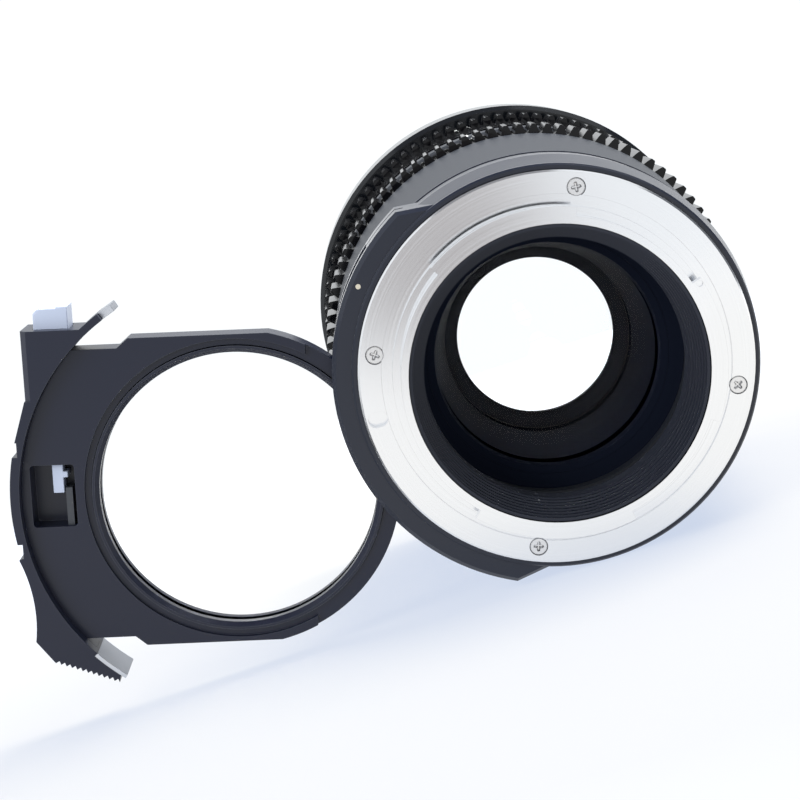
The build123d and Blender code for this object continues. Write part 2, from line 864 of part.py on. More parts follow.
def middle_glass():
    rear = y_sleeve + middle_hub_length - middle_glass_edge
    return glass(middle_glass_radius, middle_clear_radius, rear, middle_glass_edge, middle_glass_sag,
                 middle_glass_sag)


def guide_rods():
    """Three rods that let the focus cell slide but not turn."""
    root = y_sleeve + middle_flange_thickness
    rod = disc(guide_rod_radius, root - guide_rod_sink, root + guide_rod_reach)
    return ring_of(rod, rod_angles(), guide_rod_circle)


def helicoid_ring():
    """Turning ring whose thread drives the focus cell; the thread itself is left plain."""
    return tube(helicoid_radius, helicoid_bore, y_helicoid, y_helicoid_front) - focus_drive_key()


def focus_drive_key():
    """The block between the focus ring and the helicoid ring."""
    inner = helicoid_radius - key_sink
    outer = sleeve_radius + ring_running_fit + key_sink
    block = Box(outer - inner, key_height, key_width, align=(Align.MIN, Align.CENTER, Align.CENTER))
    return Pos(0, y_key, 0) * Rot(0, -key_angle, 0) * Pos(inner, 0, 0) * block


def focus_ring():
    """Geared focus ring with a ribbed grip behind its teeth."""
    bore = sleeve_radius + ring_running_fit
    start = y_focus_ring + focus_gear_offset
    body = tube(focus_band_radius, bore, y_focus_ring, y_focus_ring_front)
    y_flute = y_focus_ring + focus_flute_offset
    outline = Pos(focus_band_radius, 0) * Rectangle(2 * focus_flute_depth, focus_flute_width)
    flute = slab(outline, y_flute, y_flute + focus_flute_length)
    body -= [Rot(0, -360 / focus_flute_count * i, 0) * flute for i in range(focus_flute_count)]
    body += slab(gear_outline(focus_teeth, focus_gear_turn) - Circle(bore), start, start + gear_width)
    return body - focus_drive_key()


def focus_cell():
    """Sliding cell of the front group: helicoid body, nose and the flange on the guide rods."""
    y_flange = y_focus_cell + focus_flange_thickness
    y_inner_seat = y_flange + inner_front_glass_edge
    y_front_seat = y_focus_nose_front - front_glass_inset - front_ring_depth - front_glass_edge
    inner_radius = inner_front_glass_radius + glass_fit
    outer_radius = front_glass_radius + glass_fit
    body = turned(
        (inner_radius, y_focus_cell),
        (focus_cell_radius, y_focus_cell),
        (focus_cell_radius, y_focus_body_front),
        (focus_nose_radius, y_focus_body_front),
        (focus_nose_radius, y_focus_nose_front),
        (outer_radius, y_focus_nose_front),
        (outer_radius, y_front_seat),
        (front_clear_radius, y_front_seat),
        (inner_front_clear_radius, y_inner_seat),
        (inner_radius, y_inner_seat),
    )
    hole = disc(guide_rod_radius + guide_rod_fit, y_focus_cell, y_front_seat)
    return body - ring_of(hole, rod_angles(), guide_rod_circle)


def inner_front_glass():
    rear = y_focus_cell + focus_flange_thickness
    return glass(inner_front_glass_radius, inner_front_clear_radius, rear, inner_front_glass_edge,
                 inner_front_glass_sag, inner_front_glass_sag)


def inner_front_ring():
    rear = y_focus_cell + focus_flange_thickness
    return tube(inner_front_glass_radius, inner_front_clear_radius, rear - inner_ring_depth, rear)


def front_glass():
    rear = y_focus_nose_front - front_glass_inset - front_ring_depth - front_glass_edge
    return glass(front_glass_radius, front_clear_radius, rear, front_glass_edge, front_glass_sag,
                 front_glass_sag)


def front_retaining_ring():
    rear = y_focus_nose_front - front_glass_inset - front_ring_depth
    return turned(
        (front_clear_radius, rear),
        (front_glass_radius, rear),
        (front_glass_radius, y_focus_nose_front),
        (front_clear_radius + front_ring_bevel, y_focus_nose_front),
    )


def front_barrel():
    """Front barrel, 80 mm across, with the filter thread's bore in its mouth."""
    edge = front_edge_bevel
    return turned(
        (sleeve_radius, y_front_barrel),
        (front_radius - edge, y_front_barrel),
        (front_radius, y_front_barrel + edge),
        (front_radius, y_front - edge),
        (front_radius - edge / 2, y_front),
        (thread_radius, y_front),
        (thread_radius, y_front - thread_depth),
        (front_shell_bore, y_front - thread_depth),
        (front_shell_bore, y_sleeve_front),
        (sleeve_radius, y_sleeve_front),
    )


def front_trim_ring():
    """Bare ring in the mouth of the lens, stepped down to the moving front cell."""
    return turned(
        (trim_hole_radius, y_trim),
        (front_shell_bore, y_trim),
        (front_shell_bore, y_trim + trim_thickness),
        (trim_hole_radius + trim_step, y_trim + trim_thickness),
        (trim_hole_radius, y_trim + trim_thickness / 2),
    )


def drawn(piece):
    """A piece of the tray, moved to where the photographed tray hangs from its slot."""
    return Pos(-tray_pull, 0, -tray_drop) * Rot(0, tray_turn, 0) * piece


def centred(piece):
    """A round piece of the tray, moved from the grip's arc centre to the opening's."""
    x, z = tray_centre
    return Pos(x, 0, z) * piece


def plate_outline():
    """The tray's plate: round end, straight shoulders, waist under the arms, arc at the band."""
    side, waist = tray_side, tray_waist
    shoulder, ramp = -tray_shoulder_place, -tray_waist_place
    left = -tray_arc_radius - overrun
    upper = [(0, side), (shoulder, side), (ramp, waist), (left, waist)]
    edge = upper + [(x, -z) for x, z in reversed(upper)]
    end = Circle(tray_radius) & Rectangle(2 * tray_radius, 2 * side)
    body = Pos(*tray_centre) * (make_face(Polyline(*edge, close=True)) + end)
    return body & Circle(tray_arc_radius)


def tongue_outline():
    """The stretch of the plate that runs into the lower ear, where the grip's screws hold it."""
    return ring_sector(tongue_radius, tray_arc_radius, tongue_start_angle, tongue_end_angle)


def window_outline():
    width, height = window_left - window_right, window_top + window_bottom
    x, z = -(window_left + window_right) / 2, (window_top - window_bottom) / 2
    return Pos(x, z) * RectangleRounded(width, height, window_corner)


def stem_channel():
    """Room for the button's stem, from the window up through the grip's top edge."""
    width, depth = button_stem_width + 2 * button_fit, button_stem_depth + 2 * button_fit
    low, high = button_stem_low, grip_top + overrun
    block = Box(width, depth, high - low, align=(Align.CENTER, Align.CENTER, Align.MIN))
    return Pos(-button_stem_place, y_plate_middle, low) * block


def tray_frame():
    """Black tray plate with its filter seat, raised rim and the window for the release bar."""
    body = slab(plate_outline() + tongue_outline(), y_plate_rear, y_plate_front)
    body -= centred(disc(tray_opening_radius, y_plate_rear, y_plate_front))
    seat = y_plate_front - filter_seat_depth
    body -= centred(disc(tray_rim_radius, y_plate_rear, y_plate_rear + tray_rim_depth))
    body -= centred(disc(filter_radius + filter_ring_fit, y_plate_rear, seat))
    body -= slab(window_outline(), y_plate_rear, y_plate_front - window_floor)
    body -= stem_channel()
    body -= button_pocket()
    for x, z in grip_screw_places():
        body -= Pos(x, 0, z) * disc(grip_screw_radius, y_plate_rear, y_plate_front)
    step = Pos(tray_rail_end + tray_radius / 2, 0) * Rectangle(tray_radius, 2 * cavity_radius)
    body -= centred(slab(step, y_plate_rear, y_plate_rear + tray_rim_depth))
    return drawn(body)


def filter_glass():
    front = y_plate_front - filter_seat_depth
    pane = disc(filter_radius - filter_fit, front - filter_thickness, front)
    return drawn(centred(pane))


def filter_ring():
    """Threaded ring that holds the filter, with a bevelled bore."""
    front = y_plate_front - filter_seat_depth - filter_thickness
    rear = y_plate_rear + filter_ring_sink
    inner, outer = tray_opening_radius, filter_radius - filter_fit
    ring = turned((inner, front), (outer, front), (outer, rear), (inner + filter_ring_bevel, rear),
                  (inner, rear + filter_ring_bevel))
    return drawn(centred(ring))


def beyond_band(place):
    """The point of the grip's outline that a (rise over the band, polar angle) pair stands for."""
    rise, angle = place
    return polar(band_radius + rise, angle)


def grip_screw_places():
    return [beyond_band((grip_screw_rise, angle)) for angle in grip_screw_angles]


def grip_outline():
    """The grip outside the band: pad for the thumb, upper corner and the serrated lower ear."""
    pad_z, pad_low = grip_pad_high, -grip_pad_low
    pad_x = -sqrt(pad_radius ** 2 - pad_z ** 2)
    pad_low_x = -sqrt(pad_radius ** 2 - pad_low ** 2)
    inner = tray_arc_radius
    start = 180 - arm_half_angle
    end = 180 + ear_half_angle
    top_x = -sqrt(max(band_radius ** 2 - grip_top ** 2, 0))
    outer = Polyline(polar(inner, start), (top_x, grip_top), (-grip_side, grip_top),
                     (-grip_side, grip_kink_height), (pad_x, pad_z))
    pad = ThreePointArc((pad_x, pad_z), (-pad_radius, 0), (pad_low_x, pad_low))
    shoulder, comb_start, comb_end = beyond_band(ear_shoulder), beyond_band(ear_slope), beyond_band(ear_tip)
    pad += Line((pad_low_x, pad_low), beyond_band(grip_step))
    hollow = ThreePointArc(beyond_band(grip_step), beyond_band(grip_hollow), shoulder)
    slope = Line(shoulder, comb_start)
    run_x, run_z = comb_end[0] - comb_start[0], comb_end[1] - comb_start[1]
    length = sqrt(run_x ** 2 + run_z ** 2)
    comb = []
    for i in range(ear_teeth):
        for share, lift in ((0, 0), (0.5, ear_tooth_depth)):
            t = (i + share) / ear_teeth
            comb.append((comb_start[0] + run_x * t - run_z / length * lift,
                         comb_start[1] + run_z * t + run_x / length * lift))
    tip = Polyline(*comb, comb_end, polar(inner + catch_wall, end))
    step = Line(polar(inner + catch_wall, end), polar(inner, end))
    back = ThreePointArc(polar(inner, end), (-inner, 0), polar(inner, start))
    return make_face(outer + pad + hollow + slope + tip + step + back)


def tray_grip():
    """Thick grip that hugs the wing, with the thin upper arm and the lower ear."""
    arm = ring_sector(band_radius, tray_arc_radius, 180 - band_half_angle,
                      180 - arm_half_angle + arm_lap_angle)
    outline = grip_outline() + arm
    low, high = 180 + lower_catch_start_angle, 180 + catch_half_angle
    outline -= ring_sector(tray_arc_radius + catch_wall, tray_arc_radius - catch_wall, low, high)
    body = slab(outline, y_grip_rear, y_grip_front)
    body -= slab(tongue_outline(), y_plate_rear, y_plate_front)
    body -= button_pocket()
    body -= stem_channel()
    for z in (grip_pad_high - grip_pad_notch / 2, -grip_pad_low + grip_pad_notch / 2):
        notch = Pos(-sqrt(pad_radius ** 2 - z ** 2), z) * Rectangle(2 * grip_pad_step, grip_pad_notch)
        body -= slab(notch, y_grip_rear, y_grip_rear + grip_depth / 2)
    bevel = make_face(Polyline((-grip_side, y_grip_rear), (-grip_side + grip_edge_bevel, y_grip_rear),
                               (-grip_side, y_grip_rear + grip_edge_bevel), close=True))
    body -= Pos(0, 0, grip_kink_height) * extrude(bevel, amount=grip_top)
    for x, z in grip_screw_places():
        shaft = disc(grip_screw_radius, y_grip_front - grip_screw_length, y_grip_front)
        head = disc(grip_screw_head, y_grip_front - grip_screw_head_height, y_grip_front)
        body -= Pos(x, 0, z) * (shaft + head)
    return drawn(body)


def button_pocket():
    """Pocket in the grip's top edge that the button drops into."""
    width = button_left - button_right + 2 * button_fit
    depth = button_depth + 2 * button_fit
    drop = button_sink + button_travel
    block = Box(width, depth, drop + overrun, align=(Align.CENTER, Align.CENTER, Align.MIN))
    return Pos(-(button_left + button_right) / 2, y_plate_middle, grip_top - drop) * block


def release_button():
    """White button with the bar that shows in the window: pressed, it slides down."""
    width = button_left - button_right - button_lip_width
    height = button_height + button_sink
    face = Pos(-(button_left - width / 2), grip_top + button_height - height / 2) * Rectangle(width, height)
    face = fillet(face.vertices().sort_by(Axis.Y)[-2:], button_corner)
    body = slab(face, y_plate_middle - button_depth / 2, y_plate_middle + button_depth / 2)
    lip_height = height + button_lip_height
    lip = Box(button_lip_width + button_corner, button_depth, lip_height,
              align=(Align.MAX, Align.CENTER, Align.MIN))
    body += Pos(-button_right, y_plate_middle, grip_top - button_sink) * lip
    stem = Box(button_stem_width, button_stem_depth, grip_top - button_stem_low,
               align=(Align.CENTER, Align.CENTER, Align.MIN))
    body += Pos(-button_stem_place, y_plate_middle, button_stem_low) * stem
    nub = Box(button_nub_reach + button_stem_width / 2, button_stem_depth, button_nub_height,
              align=(Align.MIN, Align.CENTER, Align.CENTER))
    body += Pos(-button_stem_place, y_plate_middle, button_nub_place) * nub
    return drawn(body)


def lock_leaf():
    """Grey spring leaf that stands in the window beside the release bar."""
    high, low = leaf_top, -window_bottom
    floor = y_plate_front - window_floor
    leaf = Box(leaf_width, leaf_depth, high - low, align=(Align.CENTER, Align.MAX, Align.MIN))
    return drawn(Pos(-leaf_place, floor, low) * leaf)


def upper_catch():
    """Bright hook at the end of the thin upper arm."""
    inner, outer = tray_arc_radius, band_radius
    hook = ring_sector(outer, inner, 180 - hook_half_angle, 180 - band_half_angle)
    return drawn(slab(hook, y_grip_rear + band_wall, y_grip_front - band_wall))


def lower_catch():
    """Bright plate on the inner face of the lower ear."""
    inner = tray_arc_radius
    low, high = 180 + lower_catch_start_angle, 180 + catch_half_angle
    face = ring_sector(inner + catch_wall, inner, low, high)
    return drawn(slab(face, y_grip_rear, y_grip_front))


def grip_screws():
    """Two small screws in the front side of the grip."""
    screws = []
    for x, z in grip_screw_places():
        screw = disc(grip_screw_radius, y_grip_front - grip_screw_length, y_grip_front)
        screw += disc(grip_screw_head, y_grip_front - grip_screw_head_height, y_grip_front)
        screws.append(drawn(Pos(x, 0, z) * screw))
    return screws


def assembly():
    """Every sub-part by its node's name."""
    parts = {
        "mount_flange": mount_flange(),
        "mount_screws": mount_screws(),
        "rear_housing": rear_housing(),
        "housing_screws": housing_screws(),
        "alignment_mark": alignment_mark(),
        "rear_baffle": rear_baffle(),
        "main_barrel": main_barrel(),
        "rear_cell": rear_cell(),
        "rear_retaining_ring": rear_retaining_ring(),
        "rear_glass": rear_glass(),
        "inner_rear_glass": inner_rear_glass(),
        "inner_retaining_ring": inner_retaining_ring(),
        "iris_base": iris_base(),
        "iris_actuator": iris_actuator(),
        "iris_keeper": iris_keeper(),
        "iris_drive_pin": iris_drive_pin(),
        "iris_ring": iris_ring(),
        "scale_ring": scale_ring(),
        "focus_sleeve": focus_sleeve(),
        "middle_cell": middle_cell(),
        "middle_glass": middle_glass(),
        "guide_rods": guide_rods(),
        "helicoid_ring": helicoid_ring(),
        "focus_drive_key": focus_drive_key(),
        "focus_ring": focus_ring(),
        "focus_cell": focus_cell(),
        "inner_front_glass": inner_front_glass(),
        "inner_front_ring": inner_front_ring(),
        "front_glass": front_glass(),
        "front_retaining_ring": front_retaining_ring(),
        "front_barrel": front_barrel(),
        "front_trim_ring": front_trim_ring(),
        "tray_frame": tray_frame(),
        "tray_grip": tray_grip(),
        "filter_glass": filter_glass(),
        "filter_ring": filter_ring(),
        "release_button": release_button(),
        "lock_leaf": lock_leaf(),
        "upper_catch": upper_catch(),
        "lower_catch": lower_catch(),
        "grip_screws": grip_screws(),
    }
    for i in range(blade_count):
        parts[f"iris_blade_{i + 1:02d}"] = iris_blade(i)
    return parts


def main():
    os.makedirs("parts", exist_ok=True)
    for name, shape in assembly().items():
        solids = shape if isinstance(shape, list) else shape.solids()
        group = solids[0] if len(solids) == 1 else Compound(children=list(solids))
        group.label = name
        export_step(group, f"parts/{name}.step")


main()
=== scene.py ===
"""Cine prime lens lying on a white table, with its filter tray drawn out beside it.

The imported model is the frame: every sub-assembly below takes its share of the machined nodes,
dresses them with their finishes and adds the fine pieces that the plain solids leave out.
Lengths are in millimetres where nothing else is said, and mm() turns them into metres.
"""

import json
import logging
import math
from dataclasses import dataclass
from enum import Enum
from typing import ClassVar, Sequence

import bmesh
import bpy
from mathutils import Matrix, Vector

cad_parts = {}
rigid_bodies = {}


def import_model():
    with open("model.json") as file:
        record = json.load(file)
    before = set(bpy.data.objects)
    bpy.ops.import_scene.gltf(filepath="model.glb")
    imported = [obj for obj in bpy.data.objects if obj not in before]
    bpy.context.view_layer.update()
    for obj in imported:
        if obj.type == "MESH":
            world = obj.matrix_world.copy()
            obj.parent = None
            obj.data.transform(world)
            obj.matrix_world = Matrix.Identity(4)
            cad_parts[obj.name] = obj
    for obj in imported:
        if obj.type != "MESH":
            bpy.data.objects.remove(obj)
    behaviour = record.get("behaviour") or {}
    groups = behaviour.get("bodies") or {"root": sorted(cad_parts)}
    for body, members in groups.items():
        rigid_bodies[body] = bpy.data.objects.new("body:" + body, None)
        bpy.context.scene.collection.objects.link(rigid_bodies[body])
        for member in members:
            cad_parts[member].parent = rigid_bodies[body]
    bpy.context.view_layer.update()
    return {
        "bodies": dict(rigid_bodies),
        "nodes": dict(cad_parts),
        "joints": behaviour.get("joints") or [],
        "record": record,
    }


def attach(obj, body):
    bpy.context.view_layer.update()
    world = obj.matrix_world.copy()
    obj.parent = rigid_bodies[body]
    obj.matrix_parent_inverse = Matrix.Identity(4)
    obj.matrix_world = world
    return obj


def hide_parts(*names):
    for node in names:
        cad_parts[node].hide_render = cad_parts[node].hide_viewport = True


log = logging.getLogger("cine_lens")
logging.basicConfig(level=logging.INFO, format="%(name)s: %(message)s")

Colour = tuple[float, float, float]
Point = tuple[float, float, float]
Span = tuple[float, float]
Material = bpy.types.Material
Piece = bpy.types.Object
Socket = bpy.types.NodeSocket
Sockets = bpy.types.NodeOutputs
Source = Socket | float | tuple[float, ...]
Sources = dict[str | int, Source]

SHADER = "Principled BSDF"
MERGE_DISTANCE = 0.0005
NOISE_MIDDLE = 0.5
SMOOTH_ANGLE = 30.0


def mm(value: float) -> float:
    """Millimetres as metres."""
    return value / 1000.0


def metres(place: Sequence[float]) -> tuple[float, ...]:
    """A place in millimetres as one in metres."""
    return tuple(mm(value) for value in place)


def opaque(colour: Colour) -> tuple[float, ...]:
    """A colour with its alpha, as sockets take it."""
    return (*colour, 1.0)


def polar(radius: float, angle: float) -> Span:
    """X and Z of the point at a radius and an angle, in degrees from +X towards +Z."""
    return radius * math.cos(math.radians(angle)), radius * math.sin(math.radians(angle))


class Wiring:
    """Adds nodes to a node tree and feeds their inputs."""

    def __init__(self, tree: bpy.types.NodeTree) -> None:
        """Keeps the tree's nodes and links."""
        self.nodes = tree.nodes
        self.links = tree.links

    def feed(self, node: bpy.types.Node, sources: Sources) -> None:
        """Feeds inputs of a node.

        Args:
            node: the node.
            sources: a socket to link or a plain value for each input.
        """
        for key, source in sources.items():
            if isinstance(source, Socket):
                self.links.new(source, node.inputs[key])
            else:
                node.inputs[key].default_value = source

    def add(self, kind: str, sources: Sources | None = None, **settings: object) -> Sockets:
        """Adds a node.

        Args:
            kind: the node's type, without its prefix.
            sources: a socket to link or a plain value for each input.
            settings: the node's own settings.

        Returns:
            The node's outputs.
        """
        node = self.nodes.new(f"ShaderNode{kind}")
        for key, value in settings.items():
            setattr(node, key, value)
        self.feed(node, sources or {})
        return node.outputs

    def place(self) -> Socket:
        """The place on the piece, in the part's own frame."""
        return self.add("TexCoord")["Object"]

    def noise(self, sources: Sources, **settings: object) -> Socket:
        """A noise between 0 and 1."""
        return self.add("TexNoise", sources, **settings)["Fac"]

    def math(self, operation: str, *terms: Source, **settings: object) -> Socket:
        """The result of an operation on numbers."""
        return self.add("Math", dict(enumerate(terms)), operation=operation, **settings)[0]

    def measure(self, operation: str, *vectors: Source) -> Socket:
        """The number that an operation makes of vectors."""
        return self.add("VectorMath", dict(enumerate(vectors)), operation=operation)["Value"]

    def axis_distance(self, place: Socket) -> Socket:
        """Distance of a place from the optical axis, which is Y."""
        across = self.add("VectorMath", {0: place, 1: (1.0, 0.0, 1.0)}, operation="MULTIPLY")
        return self.measure("LENGTH", across["Vector"])

    def swing(self, noise: Source, spread: Source, middle: Source) -> Socket:
        """A number that a noise swings by a spread about its middle."""
        centred = self.math("SUBTRACT", noise, NOISE_MIDDLE)
        return self.math("MULTIPLY_ADD", centred, spread, middle)

    def ramp(self, value: Source, start: Sequence[float], end: Sequence[float]) -> Socket:
        """A number mapped from one span to another."""
        return self.add("MapRange", {"Value": value, "From Min": start[0], "From Max": start[1],
                                     "To Min": end[0], "To Max": end[1]})["Result"]

    def mix(self, factor: Source, first: Source, second: Source) -> Socket:
        """A mix of two colours."""
        sources = {"Factor": factor, "A": first, "B": second}
        return self.add("Mix", sources, data_type="RGBA")["Result"]


def new_material(name: str, sources: Sources) -> Material:
    """Makes a material.

    Args:
        name: its name.
        sources: a plain value for each input of its shader.

    Returns:
        The material.
    """
    material = bpy.data.materials.new(name)
    material.use_nodes = True
    wiring = Wiring(material.node_tree)
    wiring.feed(wiring.nodes[SHADER], sources)
    return material


def placed(name: str, data: bpy.types.ID) -> Piece:
    """Puts a new object into the scene.

    Args:
        name: its name.
        data: its mesh, lamp or camera.

    Returns:
        The object.
    """
    thing = bpy.data.objects.new(name, data)
    bpy.context.scene.collection.objects.link(thing)
    return thing


def turn_towards(thing: Piece, aim: Point, axis: str) -> None:
    """Turns one axis of an object towards a place.

    Args:
        thing: the object.
        aim: the place.
        axis: the axis that points there.
    """
    look = Vector(metres(aim)) - thing.location
    thing.rotation_mode = "QUATERNION"
    thing.rotation_quaternion = look.to_track_quat(axis, "Y")


class SharedGroup:
    """Shader node group that several finishes share, built once.

    Attributes:
        name: the group's name.
        inputs: name of each number that goes in.
        outputs: name of each number that comes out.
    """

    name: str
    inputs: tuple[str, ...]
    outputs: tuple[str, ...]

    def tree(self) -> bpy.types.NodeTree:
        """Makes the group when it is first asked for.

        Returns:
            The group.
        """
        made = bpy.data.node_groups.get(self.name)
        if made is not None:
            return made
        group = bpy.data.node_groups.new(self.name, "ShaderNodeTree")
        for side, labels in (("INPUT", self.inputs), ("OUTPUT", self.outputs)):
            for label in labels:
                group.interface.new_socket(label, in_out=side, socket_type="NodeSocketFloat")
        source = group.nodes.new("NodeGroupInput")
        result = group.nodes.new("NodeGroupOutput")
        wiring = Wiring(group)
        wiring.feed(result, self.wire(wiring, source.outputs))
        return group

    def wire(self, wiring: Wiring, source: Sockets) -> Sources:
        """Adds the group's nodes and gives the socket behind each output."""
        raise NotImplementedError


class FineGrain(SharedGroup):
    """Blasted and anodised grain: a height, and a roughness that varies slowly.

    Attributes:
        detail: detail of the grain.
        slow_scale: frequency at which the roughness varies.
        slow_detail: detail of that change.
    """

    name = "fine_grain"
    inputs = ("Scale", "Roughness", "Spread")
    outputs = ("Roughness", "Height")
    detail = 3.0
    slow_scale = 140.0
    slow_detail = 4.0

    def wire(self, wiring: Wiring, source: Sockets) -> Sources:
        """Adds the grain and the slow change of its roughness.

        Args:
            wiring: adds nodes to the group.
            source: the numbers that go in.

        Returns:
            The socket behind each output.
        """
        place = wiring.place()
        grain = wiring.noise({"Vector": place, "Scale": source["Scale"], "Detail": self.detail})
        slow = wiring.noise({"Vector": place, "Scale": self.slow_scale,
                             "Detail": self.slow_detail})
        roughness = wiring.swing(slow, source["Spread"], source["Roughness"])
        return {"Roughness": roughness, "Height": grain}


class LatheMarks(SharedGroup):
    """Lathe marks round the optical axis: streaks that follow the radius and the height.

    Attributes:
        detail: detail of the streaks.
        fineness: how strong the finest streaks are.
    """

    name = "lathe_marks"
    inputs = ("Scale", "Roughness", "Spread")
    outputs = ("Roughness", "Height")
    detail = 4.0
    fineness = 0.7

    def wire(self, wiring: Wiring, source: Sockets) -> Sources:
        """Adds the streaks.

        Args:
            wiring: adds nodes to the group.
            source: the numbers that go in.

        Returns:
            The socket behind each output.
        """
        place = wiring.place()
        height = wiring.add("SeparateXYZ", {0: place})["Y"]
        path = wiring.math("ADD", wiring.axis_distance(place), height)
        streaks = wiring.noise({"W": path, "Scale": source["Scale"], "Detail": self.detail,
                                "Roughness": self.fineness}, noise_dimensions="1D")
        roughness = wiring.swing(streaks, source["Spread"], source["Roughness"])
        return {"Roughness": roughness, "Height": streaks}


class DullInside(SharedGroup):
    """Roughness that rises to 1 within a radius of the optical axis."""

    name = "dull_inside"
    inputs = ("Radius", "Roughness")
    outputs = ("Roughness",)

    def wire(self, wiring: Wiring, source: Sockets) -> Sources:
        """Adds the comparison of the radius."""
        within = wiring.math("LESS_THAN", wiring.axis_distance(wiring.place()), source["Radius"])
        return {"Roughness": wiring.math("MAXIMUM", within, source["Roughness"])}


class EdgeWearAndShading(SharedGroup):
    """Mask that is 1 on sharp edges: there the flange and the screws take painted shade, and the
    tray takes rubbed edges with a painted highlight.

    Attributes:
        samples: rays that look for an edge.
        agreement: of the true and the rounded normal, where the mask starts and is full.
        patch_scale: frequency of the patches that break up the mask.
    """

    name = "edge_wear_and_shading"
    inputs = ("Width", "Amount")
    outputs = ("Mask",)
    samples = 4
    agreement = (0.97, 0.82)
    patch_scale = 900.0

    def wire(self, wiring: Wiring, source: Sockets) -> Sources:
        """Adds the comparison of the true and the rounded normal.

        Args:
            wiring: adds nodes to the group.
            source: the numbers that go in.

        Returns:
            The socket behind each output.
        """
        rounded = wiring.add("Bevel", {"Radius": source["Width"]}, samples=self.samples)
        normal = wiring.add("NewGeometry")["Normal"]
        same = wiring.measure("DOT_PRODUCT", rounded["Normal"], normal)
        worn_and_shaded = wiring.ramp(same, self.agreement, (0.0, 1.0))
        patch = wiring.noise({"Vector": wiring.place(), "Scale": self.patch_scale})
        patched = wiring.math("MULTIPLY", worn_and_shaded, patch)
        return {"Mask": wiring.math("MULTIPLY", patched, source["Amount"], use_clamp=True)}


class Texture(Enum):
    """Surface texture that a finish carries on top of its colour."""

    GRAIN = FineGrain()
    TURNED = LatheMarks()


@dataclass(frozen=True)
class Finish:
    """One surface finish, from which a material is built.

    Attributes:
        bump_strength: strength of every bump.
        coat_roughness: roughness of every clear coat.
        sheen_roughness: roughness of every sheen.
        name: the material's name.
        colour: base colour.
        roughness: middle of the roughness.
        metallic: 1 for bare metal.
        texture: which shared texture it carries.
        scale: frequency of that texture.
        spread: how far the roughness swings.
        bump: height of the texture.
        specular: reflection level of a plain surface.
        coat: weight of the clear coat.
        sheen: how much lighter the surface looks at a grazing angle.
        brushed: anisotropy of turned metal, whose marks run round the optical axis.
        streak: how much darker the lathe marks are than the metal between them.
        dull_radius: radius about the optical axis within which the surface is matt.
        wear_and_shading: how strongly sharp edges take the edge colour.
        wear_and_shading_width: how far the edge colour reaches from an edge.
        wear_and_shading_colour: edge colour: painted shade where it is darker than the finish,
            rubbed edges with a painted highlight where it is lighter.
    """

    bump_strength: ClassVar[float] = 0.6
    coat_roughness: ClassVar[float] = 0.08
    sheen_roughness: ClassVar[float] = 0.3

    name: str
    colour: Colour
    roughness: float
    metallic: float = 0.0
    texture: Texture = Texture.GRAIN
    scale: float = 9000.0
    spread: float = 0.08
    bump: float = 0.004
    specular: float = 0.5
    coat: float = 0.0
    sheen: float = 0.0
    brushed: float = 0.0
    streak: float = 0.0
    dull_radius: float = 0.0
    wear_and_shading: float = 0.0
    wear_and_shading_width: float = 0.18
    wear_and_shading_colour: Colour = (0.3, 0.31, 0.33)

    def build(self) -> Material:
        """Builds the material.

        Returns:
            The finished material.
        """
        material = new_material(self.name, {
            "Base Color": opaque(self.colour),
            "Roughness": self.roughness,
            "Metallic": self.metallic,
            "Specular IOR Level": self.specular,
            "Coat Weight": self.coat,
            "Coat Roughness": self.coat_roughness,
            "Sheen Weight": self.sheen,
            "Sheen Roughness": self.sheen_roughness,
            "Anisotropic": self.brushed,
        })
        material.diffuse_color = opaque(self.colour)
        material.metallic = self.metallic
        material.roughness = self.roughness
        wiring = Wiring(material.node_tree)
        shader = wiring.nodes[SHADER]
        if self.brushed > 0.0:
            tangent = wiring.add("Tangent", direction_type="RADIAL", axis="Y")
            wiring.feed(shader, {"Tangent": tangent["Tangent"]})
        pattern = wiring.add("Group", {
            "Scale": self.scale, "Roughness": self.roughness, "Spread": self.spread,
        }, node_tree=self.texture.value.tree())
        bump = wiring.add("Bump", {
            "Strength": self.bump_strength, "Distance": mm(self.bump),
            "Height": pattern["Height"]})
        wiring.feed(shader, {
            "Base Color": self.paint(wiring, pattern["Height"]),
            "Roughness": self.smoothness(wiring, pattern["Roughness"]),
            "Normal": bump["Normal"],
        })
        return material

    def smoothness(self, wiring: Wiring, roughness: Socket) -> Socket:
        """Makes the inside of the dull radius matt.

        Args:
            wiring: adds nodes to the material.
            roughness: the texture's roughness.

        Returns:
            The roughness of the finish.
        """
        if self.dull_radius == 0.0:
            return roughness
        dull = wiring.add("Group", {
            "Radius": mm(self.dull_radius), "Roughness": roughness,
        }, node_tree=DullInside().tree())
        return dull["Roughness"]

    def paint(self, wiring: Wiring, marks: Socket) -> Source:
        """Adds dark lathe marks and the edge colour, with its painted shade and highlight, to the
        base colour.

        Args:
            wiring: adds nodes to the material.
            marks: height of the texture.

        Returns:
            The base colour.
        """
        colour = opaque(self.colour)
        if self.streak > 0.0:
            dark = opaque(tuple(share * (1.0 - self.streak) for share in self.colour))
            colour = wiring.mix(marks, dark, colour)
        # Sharp edges take the edge colour: painted shade on the chromed flange and the polished
        # screws, rubbed edges with a painted highlight on the tray.
        if self.wear_and_shading > 0.0:
            edge = wiring.add("Group", {
                "Width": mm(self.wear_and_shading_width), "Amount": self.wear_and_shading,
            }, node_tree=EdgeWearAndShading().tree())
            colour = wiring.mix(edge["Mask"], colour, opaque(self.wear_and_shading_colour))
        return colour


@dataclass(frozen=True)
class GlassFinish:
    """Coated optical glass.

    Attributes:
        name: the material's name.
        colour: tint of what passes through.
        index: refractive index, low because the coating takes the reflections away.
    """

    name: str
    colour: Colour
    index: float

    def build(self) -> Material:
        """Builds the material.

        Returns:
            The finished material.
        """
        return new_material(self.name, {
            "Base Color": opaque(self.colour), "Roughness": 0.0, "Transmission Weight": 1.0,
            "IOR": self.index})


